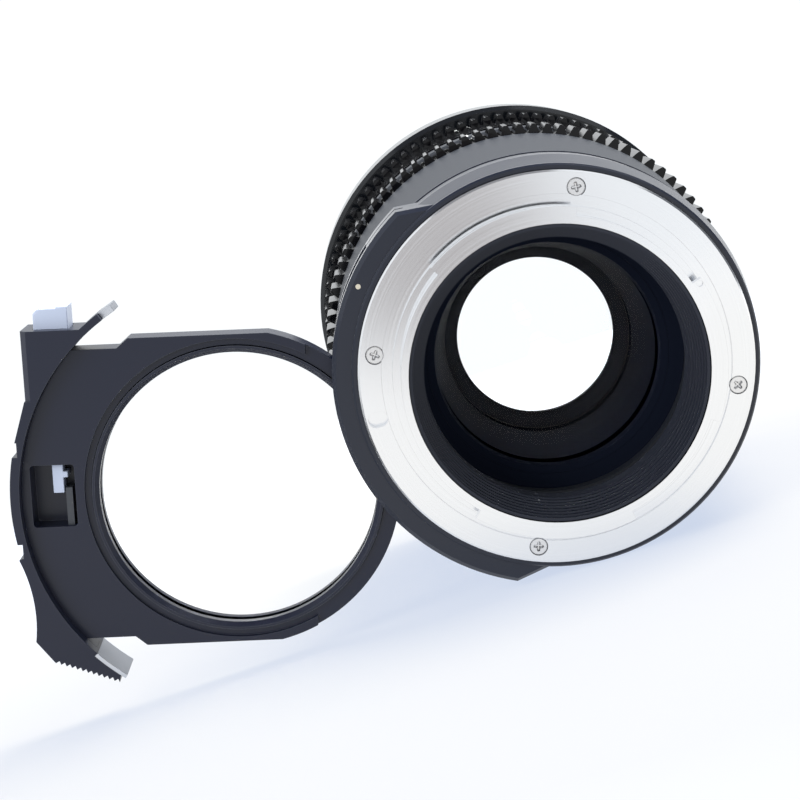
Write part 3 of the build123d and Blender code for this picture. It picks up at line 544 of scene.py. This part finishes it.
class Finishes:
    """Every finish of the lens, made once and handed out by name."""

    recipes = (
        # Grey edge colour: painted shade along the flange's edges and steps.
        Finish("chromed_flange", (0.86, 0.87, 0.89), 0.15, metallic=1.0, texture=Texture.TURNED,
               scale=2600.0, spread=0.12, bump=0.0016, brushed=0.6, streak=0.07, wear_and_shading=0.9,
               wear_and_shading_width=0.12, wear_and_shading_colour=(0.34, 0.34, 0.37)),
        # Near-black edge colour: painted shade round the screw heads and in their cross recesses.
        Finish("polished_screw", (0.74, 0.74, 0.75), 0.25, metallic=1.0, scale=6000.0, bump=0.002,
               wear_and_shading=3.2, wear_and_shading_width=0.17, wear_and_shading_colour=(0.03, 0.028, 0.028)),
        Finish("silvered_catch", (0.60, 0.62, 0.665), 0.5, metallic=1.0, scale=6000.0,
               bump=0.002),
        Finish("blackened_screw", (0.010, 0.010, 0.012), 0.3, coat=0.2),
        Finish("black_housing", (0.006, 0.009, 0.020), 0.32, sheen=0.25),
        Finish("satin_barrel", (0.017, 0.020, 0.027), 0.55, texture=Texture.TURNED, scale=5000.0,
               spread=0.05, bump=0.0015, specular=0.85),
        Finish("gloss_front", (0.004, 0.005, 0.007), 0.14, texture=Texture.TURNED, scale=5000.0,
               spread=0.04, bump=0.0015, specular=0.4),
        Finish("gloss_gear", (0.002, 0.002, 0.003), 0.1, scale=5000.0, spread=0.04, bump=0.0015,
               specular=0.25),
        Finish("matte_bore", (0.018, 0.021, 0.032), 0.5, texture=Texture.TURNED, scale=8000.0,
               specular=0.3, dull_radius=21.6),
        Finish("blue_bore", (0.009, 0.012, 0.023), 0.6, texture=Texture.TURNED, scale=4000.0,
               bump=0.003, specular=0.02),
        # Light grey edge colour: rubbed edges with a painted highlight.
        Finish("tray_anodise", (0.006, 0.0082, 0.021), 0.32, scale=11000.0, bump=0.005,
               specular=0.42, wear_and_shading=0.45, wear_and_shading_colour=(0.30, 0.32, 0.33)),
        Finish("blade_steel", (0.03, 0.03, 0.035), 0.35, metallic=0.6),
        Finish("machined_brass", (0.72, 0.52, 0.22), 0.3, metallic=1.0, texture=Texture.TURNED),
        Finish("white_plastic", (0.48, 0.54, 0.68), 0.4, scale=3000.0, bump=0.006, coat=0.1),
        Finish("grey_spring", (0.05, 0.055, 0.065), 0.4, metallic=0.3),
        Finish("cream_paint", (0.62, 0.57, 0.46), 0.5),
        Finish("white_paint", (0.80, 0.81, 0.80), 0.5, scale=6000.0, bump=0.003),
        GlassFinish("optical_glass", (0.995, 0.998, 1.0), index=1.10),
        GlassFinish("filter_pane", (0.998, 1.0, 1.0), index=1.06),
    )

    def __init__(self) -> None:
        """Builds all the materials."""
        self.made = {recipe.name: recipe.build() for recipe in self.recipes}

    def of(self, name: str) -> Material:
        """The material of that name."""
        return self.made[name]


class Bench:
    """Small modelling helpers that work through Blender's operators."""

    @staticmethod
    def clear_selection() -> None:
        """Deselects every object."""
        if bpy.context.object and bpy.context.object.mode != "OBJECT":
            bpy.ops.object.mode_set(mode="OBJECT")
        bpy.ops.object.select_all(action="DESELECT")

    @staticmethod
    def pick(piece: Piece) -> None:
        """Selects one piece alone and makes it the active one.

        Args:
            piece: the object.
        """
        Bench.clear_selection()
        piece.select_set(True)
        bpy.context.view_layer.objects.active = piece

    @staticmethod
    def settle(piece: Piece) -> None:
        """Puts a piece's place into its mesh, so that its object sits at the origin."""
        Bench.pick(piece)
        bpy.ops.object.transform_apply(location=True, rotation=True, scale=True)

    @staticmethod
    def merge_doubles() -> None:
        """Merges the doubled vertices of the mesh in edit mode."""
        bpy.ops.mesh.select_all(action="SELECT")
        bpy.ops.mesh.remove_doubles(threshold=mm(MERGE_DISTANCE))

    @staticmethod
    def clean(piece: Piece, flat_angle: float = 0.0) -> None:
        """Merges the doubled vertices of a piece and turns its faces outwards.

        Args:
            piece: the object.
            flat_angle: faces that meet at less than this angle become one, in degrees.
        """
        Bench.pick(piece)
        bpy.ops.object.mode_set(mode="EDIT")
        Bench.merge_doubles()
        bpy.ops.mesh.normals_make_consistent(inside=False)
        if flat_angle > 0.0:
            bpy.ops.mesh.dissolve_limited(angle_limit=math.radians(flat_angle))
        bpy.ops.object.mode_set(mode="OBJECT")

    @staticmethod
    def turned(profile: Sequence[Span], steps: int) -> Piece:
        """Models a closed ring or a solid by spinning a profile about the optical axis.

        Args:
            profile: radius and height of each corner in turn.
            steps: number of steps round the axis.

        Returns:
            The turned object.
        """
        Bench.clear_selection()
        bpy.ops.mesh.primitive_plane_add(size=mm(1.0))
        bpy.ops.object.mode_set(mode="EDIT")
        bpy.ops.mesh.select_all(action="SELECT")
        bpy.ops.mesh.merge(type="CENTER")
        last = profile[0]
        bpy.ops.transform.translate(value=metres((*last, 0.0)))
        for corner in (*profile[1:], profile[0]):
            step = metres((corner[0] - last[0], corner[1] - last[1], 0.0))
            bpy.ops.mesh.extrude_vertices_move(TRANSFORM_OT_translate={"value": step})
            last = corner
        Bench.merge_doubles()
        bpy.ops.mesh.select_all(action="SELECT")
        bpy.ops.mesh.spin(steps=steps, angle=math.tau, center=(0.0, 0.0, 0.0),
                          axis=(0.0, 1.0, 0.0))
        Bench.merge_doubles()
        bpy.ops.mesh.normals_make_consistent(inside=False)
        bpy.ops.object.mode_set(mode="OBJECT")
        return bpy.context.object

    @staticmethod
    def apply(piece: Piece, kind: str, **values: object) -> None:
        """Adds one modifier and applies it.

        Args:
            piece: the object.
            kind: the modifier's type.
            values: the modifier's settings.
        """
        Bench.pick(piece)
        modifier = piece.modifiers.new(kind.lower(), kind)
        for key, value in values.items():
            setattr(modifier, key, value)
        bpy.ops.object.modifier_apply(modifier=modifier.name)

    @staticmethod
    def cut(piece: Piece, tool: Piece) -> None:
        """Cuts a tool out of a piece and deletes the tool."""
        Bench.apply(piece, "BOOLEAN", object=tool, operation="DIFFERENCE", solver="EXACT")
        Bench.remove(tool)

    @staticmethod
    def remove(piece: Piece) -> None:
        """Deletes a piece that was only a tool or a model."""
        bpy.data.objects.remove(piece, do_unlink=True)

    @staticmethod
    def copy(piece: Piece, name: str, place: Matrix) -> Piece:
        """Copies a piece together with its mesh.

        Args:
            piece: the model.
            name: the copy's name.
            place: how the copy is moved away from the model.

        Returns:
            The copy.
        """
        other = placed(name, piece.data.copy())
        other.matrix_world = place @ piece.matrix_world
        return other

    @staticmethod
    def open_edges(piece: Piece) -> int:
        """Counts the edges of a piece that don't join exactly two faces.

        Args:
            piece: the object.

        Returns:
            Their number.
        """
        check = bmesh.new()
        check.from_mesh(piece.data)
        count = sum(1 for edge in check.edges if len(edge.link_faces) != 2)
        check.free()
        return count

    @staticmethod
    def finish(piece: Piece, name: str, material: Material, body: str, slot: str) -> None:
        """Names, dresses and mounts a new piece.

        Args:
            piece: the modelled object.
            name: its name.
            material: its finish.
            body: the body it rides on.
            slot: the record's material slot; not used.
        """
        Bench.settle(piece)
        piece.name = name
        piece.data.name = name
        piece.data.materials.clear()
        piece.data.materials.append(material)
        bpy.ops.object.shade_smooth_by_angle(angle=math.radians(SMOOTH_ANGLE))
        Bench.apply(piece, "WEIGHTED_NORMAL", weight=100, keep_sharp=True)
        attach(piece, body)
        faces = len(piece.data.polygons)
        log.info("%s: %d faces, %d open edges", name, faces, Bench.open_edges(piece))


class Dresser:
    """Gives the carried-over nodes their finishes.

    Attributes:
        flat_angle: faces of a softened copy that meet at less than this angle become one.
        edge_angle: edges of a softened copy sharper than this angle are broken.
    """

    flat_angle = 0.4
    edge_angle = 35.0

    def __init__(self, frame: dict, finishes: Finishes) -> None:
        """Keeps the frame's nodes and the finishes."""
        self.nodes = frame["nodes"]
        self.finishes = finishes

    def dress(self, finish: str, *names: str) -> None:
        """Puts one finish on several nodes.

        Args:
            finish: the finish's name.
            names: the nodes that take it.
        """
        material = self.finishes.of(finish)
        for name in names:
            node = self.nodes[name]
            if not node.material_slots:
                node.data.materials.append(material)
            node.material_slots[0].material = material
            log.info("%s wears %s", name, finish)

    def soften(self, name: str, finish: str, body: str, slot: str, width: float,
               segments: int = 2) -> None:
        """Stands a copy with broken edges in for a node, so that its edges catch the light.

        Args:
            name: the node.
            finish: the finish's name.
            body: the body the node belongs to.
            slot: the record's material slot.
            width: width of the broken edge.
            segments: number of faces across the broken edge.
        """
        piece = Bench.copy(self.nodes[name], f"soft_{name}", Matrix())
        Bench.clean(piece, self.flat_angle)
        Bench.apply(piece, "BEVEL", width=mm(width), segments=segments, limit_method="ANGLE",
                    angle_limit=math.radians(self.edge_angle), miter_outer="MITER_ARC")
        Bench.apply(piece, "TRIANGULATE")
        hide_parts(name)
        Bench.finish(piece, f"soft_{name}", self.finishes.of(finish), body, slot)


@dataclass
class Photographer:
    """Camera at the photograph's viewpoint, in the row frame.

    Attributes:
        place: where it stands.
        forward: unit vector it looks along.
        up: unit vector of the picture's upward side.
        focal: focal length on the sensor.
        sensor: width of the sensor.
        clip: nearest and farthest distance that it sees.
    """

    place: Point = (-14.344, -283.030, 57.971)
    forward: Point = (-0.03925, 0.98122, -0.18885)
    up: Point = (0.31394, 0.19153, 0.92992)
    focal: float = 80.1
    sensor: float = 36.0
    clip: Span = (10.0, 20000.0)

    def set_up(self) -> None:
        """Makes the camera and looks through it."""
        data = bpy.data.cameras.new("photograph")
        data.lens = self.focal
        data.sensor_width = self.sensor
        data.clip_start, data.clip_end = metres(self.clip)
        camera = placed("photograph", data)
        forward = Vector(self.forward).normalized()
        right = forward.cross(Vector(self.up)).normalized()
        up = right.cross(forward).normalized()
        turn = Matrix((right, up, -forward)).transposed().to_4x4()
        camera.matrix_world = Matrix.Translation(metres(self.place)) @ turn
        bpy.context.scene.camera = camera


@dataclass
class Table:
    """White table that keeps the shadow and otherwise looks as white as the backdrop.

    Attributes:
        rear_touch: Y and Z where the rear ring touches the table.
        front_touch: Y and Z where the iris gear touches it.
        reach_x: where the table starts and ends along X.
        reach_y: where it starts and ends along Y.
        colour: base colour, which takes the shadows.
        roughness: how matt it is.
        lift: light of its own that the table adds, so that it looks white.
        mirrored: that light as it shows in reflections.
        fade: distances between which the table fades to plain white.
        fade_strength: strength of its own light at those distances.
    """

    rear_touch: Span = (0.9, -33.36)
    front_touch: Span = (39.9, -38.06)
    reach_x: Span = (-420.0, 420.0)
    reach_y: Span = (-150.0, 520.0)
    colour: Colour = (0.142, 0.12, 0.076)
    roughness: float = 0.9
    lift: Colour = (0.585, 0.655, 0.80)
    mirrored: Colour = (0.715, 0.765, 0.855)
    fade: Span = (110.0, 330.0)
    fade_strength: Span = (1.02, 1.6)

    def height(self, y: float) -> float:
        """Height of the table under a station along the optical axis."""
        (rear_y, rear_z), (front_y, front_z) = self.rear_touch, self.front_touch
        return rear_z + (front_z - rear_z) / (front_y - rear_y) * (y - rear_y)

    def material(self) -> Material:
        """Builds the table's material.

        Returns:
            The material.
        """
        material = new_material("white_table", {
            "Base Color": opaque(self.colour), "Roughness": self.roughness,
            "Specular IOR Level": 0.0})
        wiring = Wiring(material.node_tree)
        mirror = wiring.add("LightPath")["Is Glossy Ray"]
        distance = wiring.measure("LENGTH", wiring.place())
        wiring.feed(wiring.nodes[SHADER], {
            "Emission Color": wiring.mix(mirror, opaque(self.lift), opaque(self.mirrored)),
            "Emission Strength": wiring.ramp(distance, metres(self.fade), self.fade_strength)})
        return material

    def set_up(self) -> None:
        """Makes the table, which only the stage needs."""
        (low_x, high_x), (low_y, high_y) = self.reach_x, self.reach_y
        outline = ((low_x, low_y), (high_x, low_y), (high_x, high_y), (low_x, high_y))
        places = [metres((x, y, self.height(y))) for x, y in outline]
        mesh = bpy.data.meshes.new("table")
        mesh.from_pydata(places, [], [range(len(places))])
        mesh.materials.append(self.material())
        table = placed("table", mesh)


@dataclass
class Lamp:
    """Soft square panel that faces the lens.

    Attributes:
        name: the lamp's name.
        place: where it hangs.
        size: width of the panel.
        power: its power, in watts.
        aim: the place on the lens that it faces.
    """

    name: str
    place: Point
    size: float
    power: float
    aim: Point = (-20.0, 30.0, 0.0)

    def set_up(self) -> None:
        """Hangs the lamp."""
        data = bpy.data.lights.new(self.name, "AREA")
        data.shape = "SQUARE"
        data.size = mm(self.size)
        data.energy = self.power
        lamp = placed(self.name, data)
        lamp.location = metres(self.place)
        turn_towards(lamp, self.aim, "-Z")
        lamp.visible_glossy = False


@dataclass
class Card:
    """Square card outside the picture that shows in reflections only.

    Attributes:
        name: the card's name.
        place: where it stands.
        size: its width.
        shade: the light it gives.
    """

    name: str
    place: Point
    size: float
    shade: Colour

    def set_up(self) -> None:
        """Stands the card up, facing the part's origin."""
        Bench.clear_selection()
        bpy.ops.mesh.primitive_plane_add(size=mm(self.size), location=metres(self.place))
        card = bpy.context.object
        card.name = self.name
        turn_towards(card, (0.0, 0.0, 0.0), "Z")
        card.data.materials.append(new_material(self.name, {
            "Base Color": opaque((0.0, 0.0, 0.0)), "Roughness": 1.0, "Specular IOR Level": 0.0,
            "Emission Color": opaque(self.shade), "Emission Strength": 1.0}))
        for ray in ("camera", "diffuse", "transmission", "shadow"):
            setattr(card, f"visible_{ray}", False)


@dataclass
class Studio:
    """White surroundings, soft lamps, reflected cards and the table.

    Attributes:
        sky: colour of the surroundings.
        sky_strength: their strength as light on matt paint, and as seen or mirrored.
        lamps: the soft panels.
        cards: the cards that metal and paint reflect.
    """

    sky: Colour = (0.955, 0.98, 1.0)
    sky_strength: Span = (0.5, 1.06)
    lamps: tuple[Lamp, ...] = (
        Lamp("key_panel", place=(220.0, 120.0, 420.0), size=300.0, power=5.0),
        Lamp("fill_panel", place=(-330.0, -260.0, 260.0), size=320.0, power=2.0),
        Lamp("back_panel", place=(60.0, 420.0, 380.0), size=420.0, power=2.4),
    )
    cards: tuple[Card, ...] = (
        Card("right_card", place=(520.0, -60.0, 160.0), size=420.0, shade=(0.16, 0.17, 0.19)),
        Card("top_card", place=(0.0, -140.0, 560.0), size=480.0, shade=(0.30, 0.30, 0.32)),
        Card("grey_card", place=(-10.0, -350.0, -6.0), size=74.0, shade=(0.50, 0.475, 0.475)),
    )

    def set_up(self) -> None:
        """Makes the table, the surroundings, the lamps and the cards."""
        Table().set_up()
        self.surround()
        for light in (*self.lamps, *self.cards):
            light.set_up()
        log.info("studio is set")

    def surround(self) -> None:
        """Makes the world."""
        world = bpy.data.worlds.new("white_room")
        bpy.context.scene.world = world
        world.use_nodes = True
        wiring = Wiring(world.node_tree)
        path = wiring.add("LightPath")
        seen = wiring.math("MAXIMUM", path["Is Camera Ray"], path["Is Transmission Ray"])
        seen = wiring.math("MAXIMUM", seen, path["Is Glossy Ray"])
        wiring.feed(wiring.nodes["Background"], {
            "Color": opaque(self.sky),
            "Strength": wiring.ramp(seen, (0.0, 1.0), self.sky_strength)})


@dataclass
class RearMount:
    """Bayonet flange, its screws, the light trap and the rear housing.

    Attributes:
        dresser: gives the pieces their finishes.
        screw_circle: radius of the screws' circle.
        screw_angles: polar angle of each screw, in degrees.
        cross_angles: turn of each screw's cross recess, in degrees.
        screw_steps: steps round a screw.
        head_radius: radius of a screw's head.
        head_height: height of the countersunk head.
        head_edge: width and depth of the head's broken edge.
        shank_radius: radius of the shank.
        shank_end: where the shank ends under the flange's land.
        shank_tip: width and height of the shank's tapered tip.
        sink: how deep the head's top lies under the land.
        recess_size: length and width of one bar of the cross recess.
        recess_depth: depth of the cross recess.
        recess_round: rounding of a bar, as a share of its sides.
        seam_radius: inner and outer radius of the line between housing and barrel.
        seam_reach: its start and end along the optical axis.
        seam_edge: width of its broken edges.
        seam_steps: steps round it.
    """

    dresser: Dresser
    screw_circle: float = 29.65
    screw_angles: tuple[float, ...] = (66.7, 156.7, 246.7, 336.7)
    cross_angles: tuple[float, ...] = (5.0, 38.0, 20.0, 62.0)
    screw_steps: int = 48
    head_radius: float = 1.43
    head_height: float = 0.9
    head_edge: Span = (0.08, 0.1)
    shank_radius: float = 0.95
    shank_end: float = 4.0
    shank_tip: Span = (0.2, 0.1)
    sink: float = 0.1
    recess_size: Span = (1.62, 0.5)
    recess_depth: float = 0.62
    recess_round: float = 0.28
    seam_radius: Span = (34.2, 34.6)
    seam_reach: Span = (12.3, 12.75)
    seam_edge: float = 0.08
    seam_steps: int = 288

    def build(self) -> None:
        """Dresses the nodes and models the screws and the seam."""
        dresser = self.dresser
        dresser.dress("chromed_flange", "mount_flange")
        dresser.dress("black_housing", "rear_housing")
        dresser.dress("blackened_screw", "housing_screws")
        dresser.dress("cream_paint", "alignment_mark")
        dresser.dress("matte_bore", "rear_baffle")
        dresser.dress("blue_bore", "rear_cell", "rear_retaining_ring", "inner_retaining_ring")
        dresser.dress("optical_glass", "rear_glass", "inner_rear_glass")
        self.screws()
        self.seam()

    def screws(self) -> None:
        """Models the countersunk screws, whose crosses are each turned a little differently."""
        edge_width, edge_depth = self.head_edge
        tip_width, tip_height = self.shank_tip
        screw = Bench.turned((
            (0.0, self.sink), (self.head_radius - edge_width, self.sink),
            (self.head_radius, self.sink + edge_depth),
            (self.shank_radius, self.sink + self.head_height),
            (self.shank_radius, self.shank_end - tip_height),
            (self.shank_radius - tip_width, self.shank_end), (0.0, self.shank_end),
        ), self.screw_steps)
        screw.name = "mount_screw"
        for turn in (0.0, 90.0):
            Bench.cut(screw, self.recess_bar(turn))
        finish = self.dresser.finishes.of("polished_screw")
        for number, angle in enumerate(self.screw_angles, 1):
            x, z = polar(self.screw_circle, angle)
            spin = Matrix.Rotation(math.radians(self.cross_angles[number - 1]), 4, "Y")
            name = f"mount_screw_{number}"
            copy = Bench.copy(screw, name, Matrix.Translation(metres((x, 0.0, z))) @ spin)
            if number == 1:
                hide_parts("mount_screws")
            Bench.finish(copy, name, finish, "barrel", "bright_steel")
        Bench.remove(screw)

    def recess_bar(self, turn: float) -> Piece:
        """Models one rounded bar of the cross recess.

        Args:
            turn: its turn about the screw's axis, in degrees.

        Returns:
            The bar, which is cut out of the screw.
        """
        length, width = self.recess_size
        Bench.clear_selection()
        bpy.ops.mesh.primitive_cube_add(size=mm(1.0), location=metres((0.0, self.sink, 0.0)))
        bar = bpy.context.object
        bar.scale = (length, 2.0 * self.recess_depth, width)
        bar.rotation_euler = (0.0, math.radians(turn), 0.0)
        bpy.ops.object.mode_set(mode="EDIT")
        bpy.ops.mesh.select_all(action="SELECT")
        bpy.ops.mesh.bevel(offset=mm(self.recess_round), segments=2)
        bpy.ops.object.mode_set(mode="OBJECT")
        Bench.settle(bar)
        return bar

    def seam(self) -> None:
        """Models the fine raised line where the housing meets the barrel."""
        low, high = self.seam_radius
        start, end = self.seam_reach
        edge = self.seam_edge
        ring = Bench.turned((
            (low, start), (high - edge, start), (high, start + edge), (high, end - edge),
            (high - edge, end), (low, end),
        ), self.seam_steps)
        finish = self.dresser.finishes.of("black_housing")
        Bench.finish(ring, "housing_seam", finish, "barrel", "black_housing")


@dataclass(frozen=True)
class NumberRow:
    """Painted numbers round a ring.

    Attributes:
        name: what the pieces are called.
        body: the ring.
        words: the numbers.
        size: height of the numerals.
        turn: angle from the first number to the last, in degrees.
        radius: radius of the band that they stand on.
        height: place of the band's middle along the optical axis.
    """

    name: str
    body: str
    words: tuple[str, ...]
    size: float
    turn: float
    radius: float
    height: float

    def angle(self, number: int, start: float) -> float:
        """Polar angle of a number, counted from 0 at the start's angle, in degrees."""
        return start - self.turn * number / (len(self.words) - 1)


@dataclass
class Lettering:
    """Plain painted numbers whose characters lie one by one on a cylinder.

    Attributes:
        material: the paint.
        width: width of a character, as a share of its height.
        point_width: width of a decimal point, as the same share.
        font_share: size of the font, as a share of the height of its numerals.
        thickness: half the thickness of the paint.
        curve_steps: steps in each curve of a character.
    """

    material: Material
    width: float = 0.62
    point_width: float = 0.32
    font_share: float = 1.35
    thickness: float = 0.06
    curve_steps: int = 4

    def character(self, sign: str, size: float) -> Piece:
        """Models one character on the XY plane.

        Args:
            sign: the numeral, or the decimal point, which stands on the line below the middle.
            size: height of the numerals.

        Returns:
            The character.
        """
        point = sign == "."
        Bench.clear_selection()
        bpy.ops.object.text_add()
        font = bpy.context.object.data
        font.body = sign
        font.size = mm(size * self.font_share)
        font.extrude = mm(self.thickness)
        font.align_x = "CENTER"
        font.align_y = "BOTTOM_BASELINE" if point else "CENTER"
        font.resolution_u = self.curve_steps
        bpy.ops.object.convert(target="MESH")
        letter = bpy.context.object
        if point:
            letter.location.y = -mm(size / 2.0)
            Bench.settle(letter)
        return letter

    def write(self, row: NumberRow, word: str, angle: float) -> None:
        """Models a number of a row.

        Args:
            row: the row.
            word: the number.
            angle: polar angle of the number's middle, in degrees.
        """
        widths = [row.size * (self.point_width if sign == "." else self.width) for sign in word]
        place = -sum(widths) / 2.0
        letters = []
        for sign, width in zip(word, widths):
            letter = self.character(sign, row.size)
            middle = place + width / 2.0
            stand(letter, row.radius, row.height, angle - math.degrees(middle / row.radius))
            letters.append(letter)
            place += width
        number = letters[0]
        if len(letters) > 1:
            Bench.pick(number)
            for letter in letters:
                letter.select_set(True)
            bpy.ops.object.join()
        Bench.clean(number)
        name = f"{row.name}_{word.replace('.', '_')}"
        Bench.finish(number, name, self.material, row.body, "white_plastic")


def stand(piece: Piece, radius: float, height: float, angle: float) -> None:
    """Moves a flat piece from the XY plane onto a cylinder about the optical axis.

    Args:
        piece: the piece, drawn with +Z outwards.
        radius: radius of the cylinder.
        height: place along the optical axis.
        angle: polar angle, in degrees.
    """
    turn = Matrix.Rotation(math.radians(90.0 - angle), 4, "Y")
    shift = Matrix.Translation(metres((0.0, height, radius)))
    piece.matrix_world = turn @ shift @ piece.matrix_world
    Bench.settle(piece)


@dataclass
class Barrel:
    """Main barrel, geared rings, scale ring and the front barrel.

    Attributes:
        dresser: gives the pieces their finishes.
        gear_edge: width of the gears' broken edges.
        blades: number of iris blades.
        stops: numbers on the iris ring.
        distances: numbers on the focus ring.
        scale_radius: radius of the scale ring.
        scale_place: height of the middle of the scale ring.
        index_angle: polar angle of the index line, in degrees.
        index_size: width and length of the index line.
        tick_size: width and length of a tick.
        tick_shift: distance of a tick's middle in front of the index line's.
        paint_thickness: thickness of a painted line.
        paint_edge: width of its broken edges.
        thread_base: radius on which the thread's ridges stand.
        thread_root: height of a ridge's foot above that radius.
        thread_crest: inner radius of the ridges.
        thread_flat: half the width of a ridge's crest.
        thread_start: where the thread starts along the optical axis.
        thread_lead: plain stretch before the first ridge.
        thread_pitch: distance from ridge to ridge.
        thread_count: number of ridges.
        thread_steps: steps round the thread.
    """

    dresser: Dresser
    gear_edge: float = 0.09
    blades: int = 10
    stops: NumberRow = NumberRow(
        "stop", "iris_ring", ("1.5", "2", "2.8", "4", "5.6", "8", "11", "16"),
        size=1.6, turn=72.0, radius=36.6, height=49.15)
    distances: NumberRow = NumberRow(
        "distance", "focus_ring",
        ("0.6", "0.7", "0.8", "0.9", "1", "1.2", "1.5", "2", "3", "5", "10"),
        size=2.2, turn=270.0, radius=37.2, height=77.9)
    scale_radius: float = 37.0
    scale_place: float = 53.45
    index_angle: float = 90.0
    index_size: Span = (0.35, 4.2)
    tick_size: Span = (0.25, 1.0)
    tick_shift: float = 1.8
    paint_thickness: float = 0.16
    paint_edge: float = 0.03
    thread_base: float = 38.12
    thread_root: float = 0.05
    thread_crest: float = 37.75
    thread_flat: float = 0.06
    thread_start: float = 88.75
    thread_lead: float = 0.15
    thread_pitch: float = 0.75
    thread_count: int = 5
    thread_steps: int = 144

    def build(self) -> None:
        """Dresses the nodes of the barrel and adds its marks and threads."""
        dresser = self.dresser
        dresser.dress("satin_barrel", "main_barrel", "scale_ring", "focus_sleeve")
        dresser.dress("gloss_front", "front_barrel")
        for ring in ("iris_ring", "focus_ring"):
            dresser.soften(ring, "gloss_gear", ring, "gloss_black", self.gear_edge)
        dresser.dress("matte_bore", "middle_cell", "focus_cell", "inner_front_ring",
                      "front_retaining_ring", "front_trim_ring", "iris_base", "iris_actuator",
                      "iris_keeper")
        blades = [f"iris_blade_{number:02d}" for number in range(1, self.blades + 1)]
        dresser.dress("blade_steel", *blades)
        dresser.dress("machined_brass", "helicoid_ring")
        dresser.dress("polished_screw", "guide_rods", "iris_drive_pin", "focus_drive_key")
        dresser.dress("optical_glass", "middle_glass", "inner_front_glass", "front_glass")
        self.marks()
        self.front_thread()

    def marks(self) -> None:
        """Paints the index line, the stops, the distances and a tick for each distance."""
        finish = self.dresser.finishes.of("white_paint")
        lettering = Lettering(finish)
        index = self.stroke(self.index_size)
        stand(index, self.scale_radius, self.scale_place, self.index_angle)
        Bench.finish(index, "index_line", finish, "barrel", "white_plastic")
        for number, word in enumerate(self.stops.words):
            lettering.write(self.stops, word, self.stops.angle(number, self.index_angle))
        for number, word in enumerate(self.distances.words):
            angle = self.distances.angle(number, self.index_angle)
            lettering.write(self.distances, word, angle)
            tick = self.stroke(self.tick_size)
            stand(tick, self.scale_radius, self.scale_place + self.tick_shift, angle)
            Bench.finish(tick, f"scale_tick_{number + 1:02d}", finish, "barrel", "white_plastic")

    def stroke(self, size: Span) -> Piece:
        """Models a thin painted line with rounded edges, lying on the XY plane along Y.

        Args:
            size: its width and its length.

        Returns:
            The line.
        """
        Bench.clear_selection()
        bpy.ops.mesh.primitive_cube_add(size=mm(1.0))
        line = bpy.context.object
        line.scale = (*size, self.paint_thickness)
        Bench.settle(line)
        Bench.apply(line, "BEVEL", width=mm(self.paint_edge), segments=2)
        return line

    def front_thread(self) -> None:
        """Models the fine ridges of the filter thread in the front barrel's mouth."""
        foot = self.thread_base - self.thread_root
        first = self.thread_start + self.thread_lead
        profile = [(self.thread_base, self.thread_start)]
        for number in range(self.thread_count):
            low = first + number * self.thread_pitch
            top = low + self.thread_pitch / 2.0
            profile += [(foot, low), (self.thread_crest, top - self.thread_flat),
                        (self.thread_crest, top + self.thread_flat)]
        end = first + self.thread_count * self.thread_pitch
        profile += [(foot, end), (self.thread_base, end)]
        ridges = Bench.turned(profile, self.thread_steps)
        finish = self.dresser.finishes.of("gloss_front")
        Bench.finish(ridges, "front_thread_ridges", finish, "barrel", "gloss_black")


@dataclass
class FilterTray:
    """Drop-in filter tray with its grip, catches and release button.

    Attributes:
        dresser: gives the pieces their finishes.
        frame_edge: width of the tray frame's broken edges.
        grip_edge: width of the grip's.
        button_edge: width of the release button's.
        button_segments: faces across those edges.
        catch_edge: width of the catches'.
    """

    dresser: Dresser
    frame_edge: float = 0.12
    grip_edge: float = 0.08
    button_edge: float = 0.2
    button_segments: int = 3
    catch_edge: float = 0.1

    def build(self) -> None:
        """Dresses the nodes of the tray."""
        dresser = self.dresser
        dresser.soften("tray_frame", "tray_anodise", "filter_tray", "tray_black", self.frame_edge)
        dresser.soften("tray_grip", "tray_anodise", "filter_tray", "tray_black", self.grip_edge)
        dresser.soften("release_button", "white_plastic", "release_button", "white_plastic",
                       self.button_edge, self.button_segments)
        for catch in ("lower_catch", "upper_catch"):
            dresser.soften(catch, "silvered_catch", "filter_tray", "bright_steel",
                           self.catch_edge)
        dresser.dress("tray_anodise", "filter_ring")
        dresser.dress("filter_pane", "filter_glass")
        dresser.dress("grey_spring", "lock_leaf")
        dresser.dress("blackened_screw", "grip_screws")


def main() -> None:
    """Builds the scene: frame, camera, studio, then one sub-assembly after another."""
    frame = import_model()
    bpy.context.scene.view_settings.view_transform = "Standard"
    Photographer().set_up()
    Studio().set_up()
    dresser = Dresser(frame, Finishes())
    for assembly in (RearMount(dresser), Barrel(dresser), FilterTray(dresser)):
        assembly.build()
        log.info("%s is built", type(assembly).__name__)


if __name__ == "__main__":
    main()
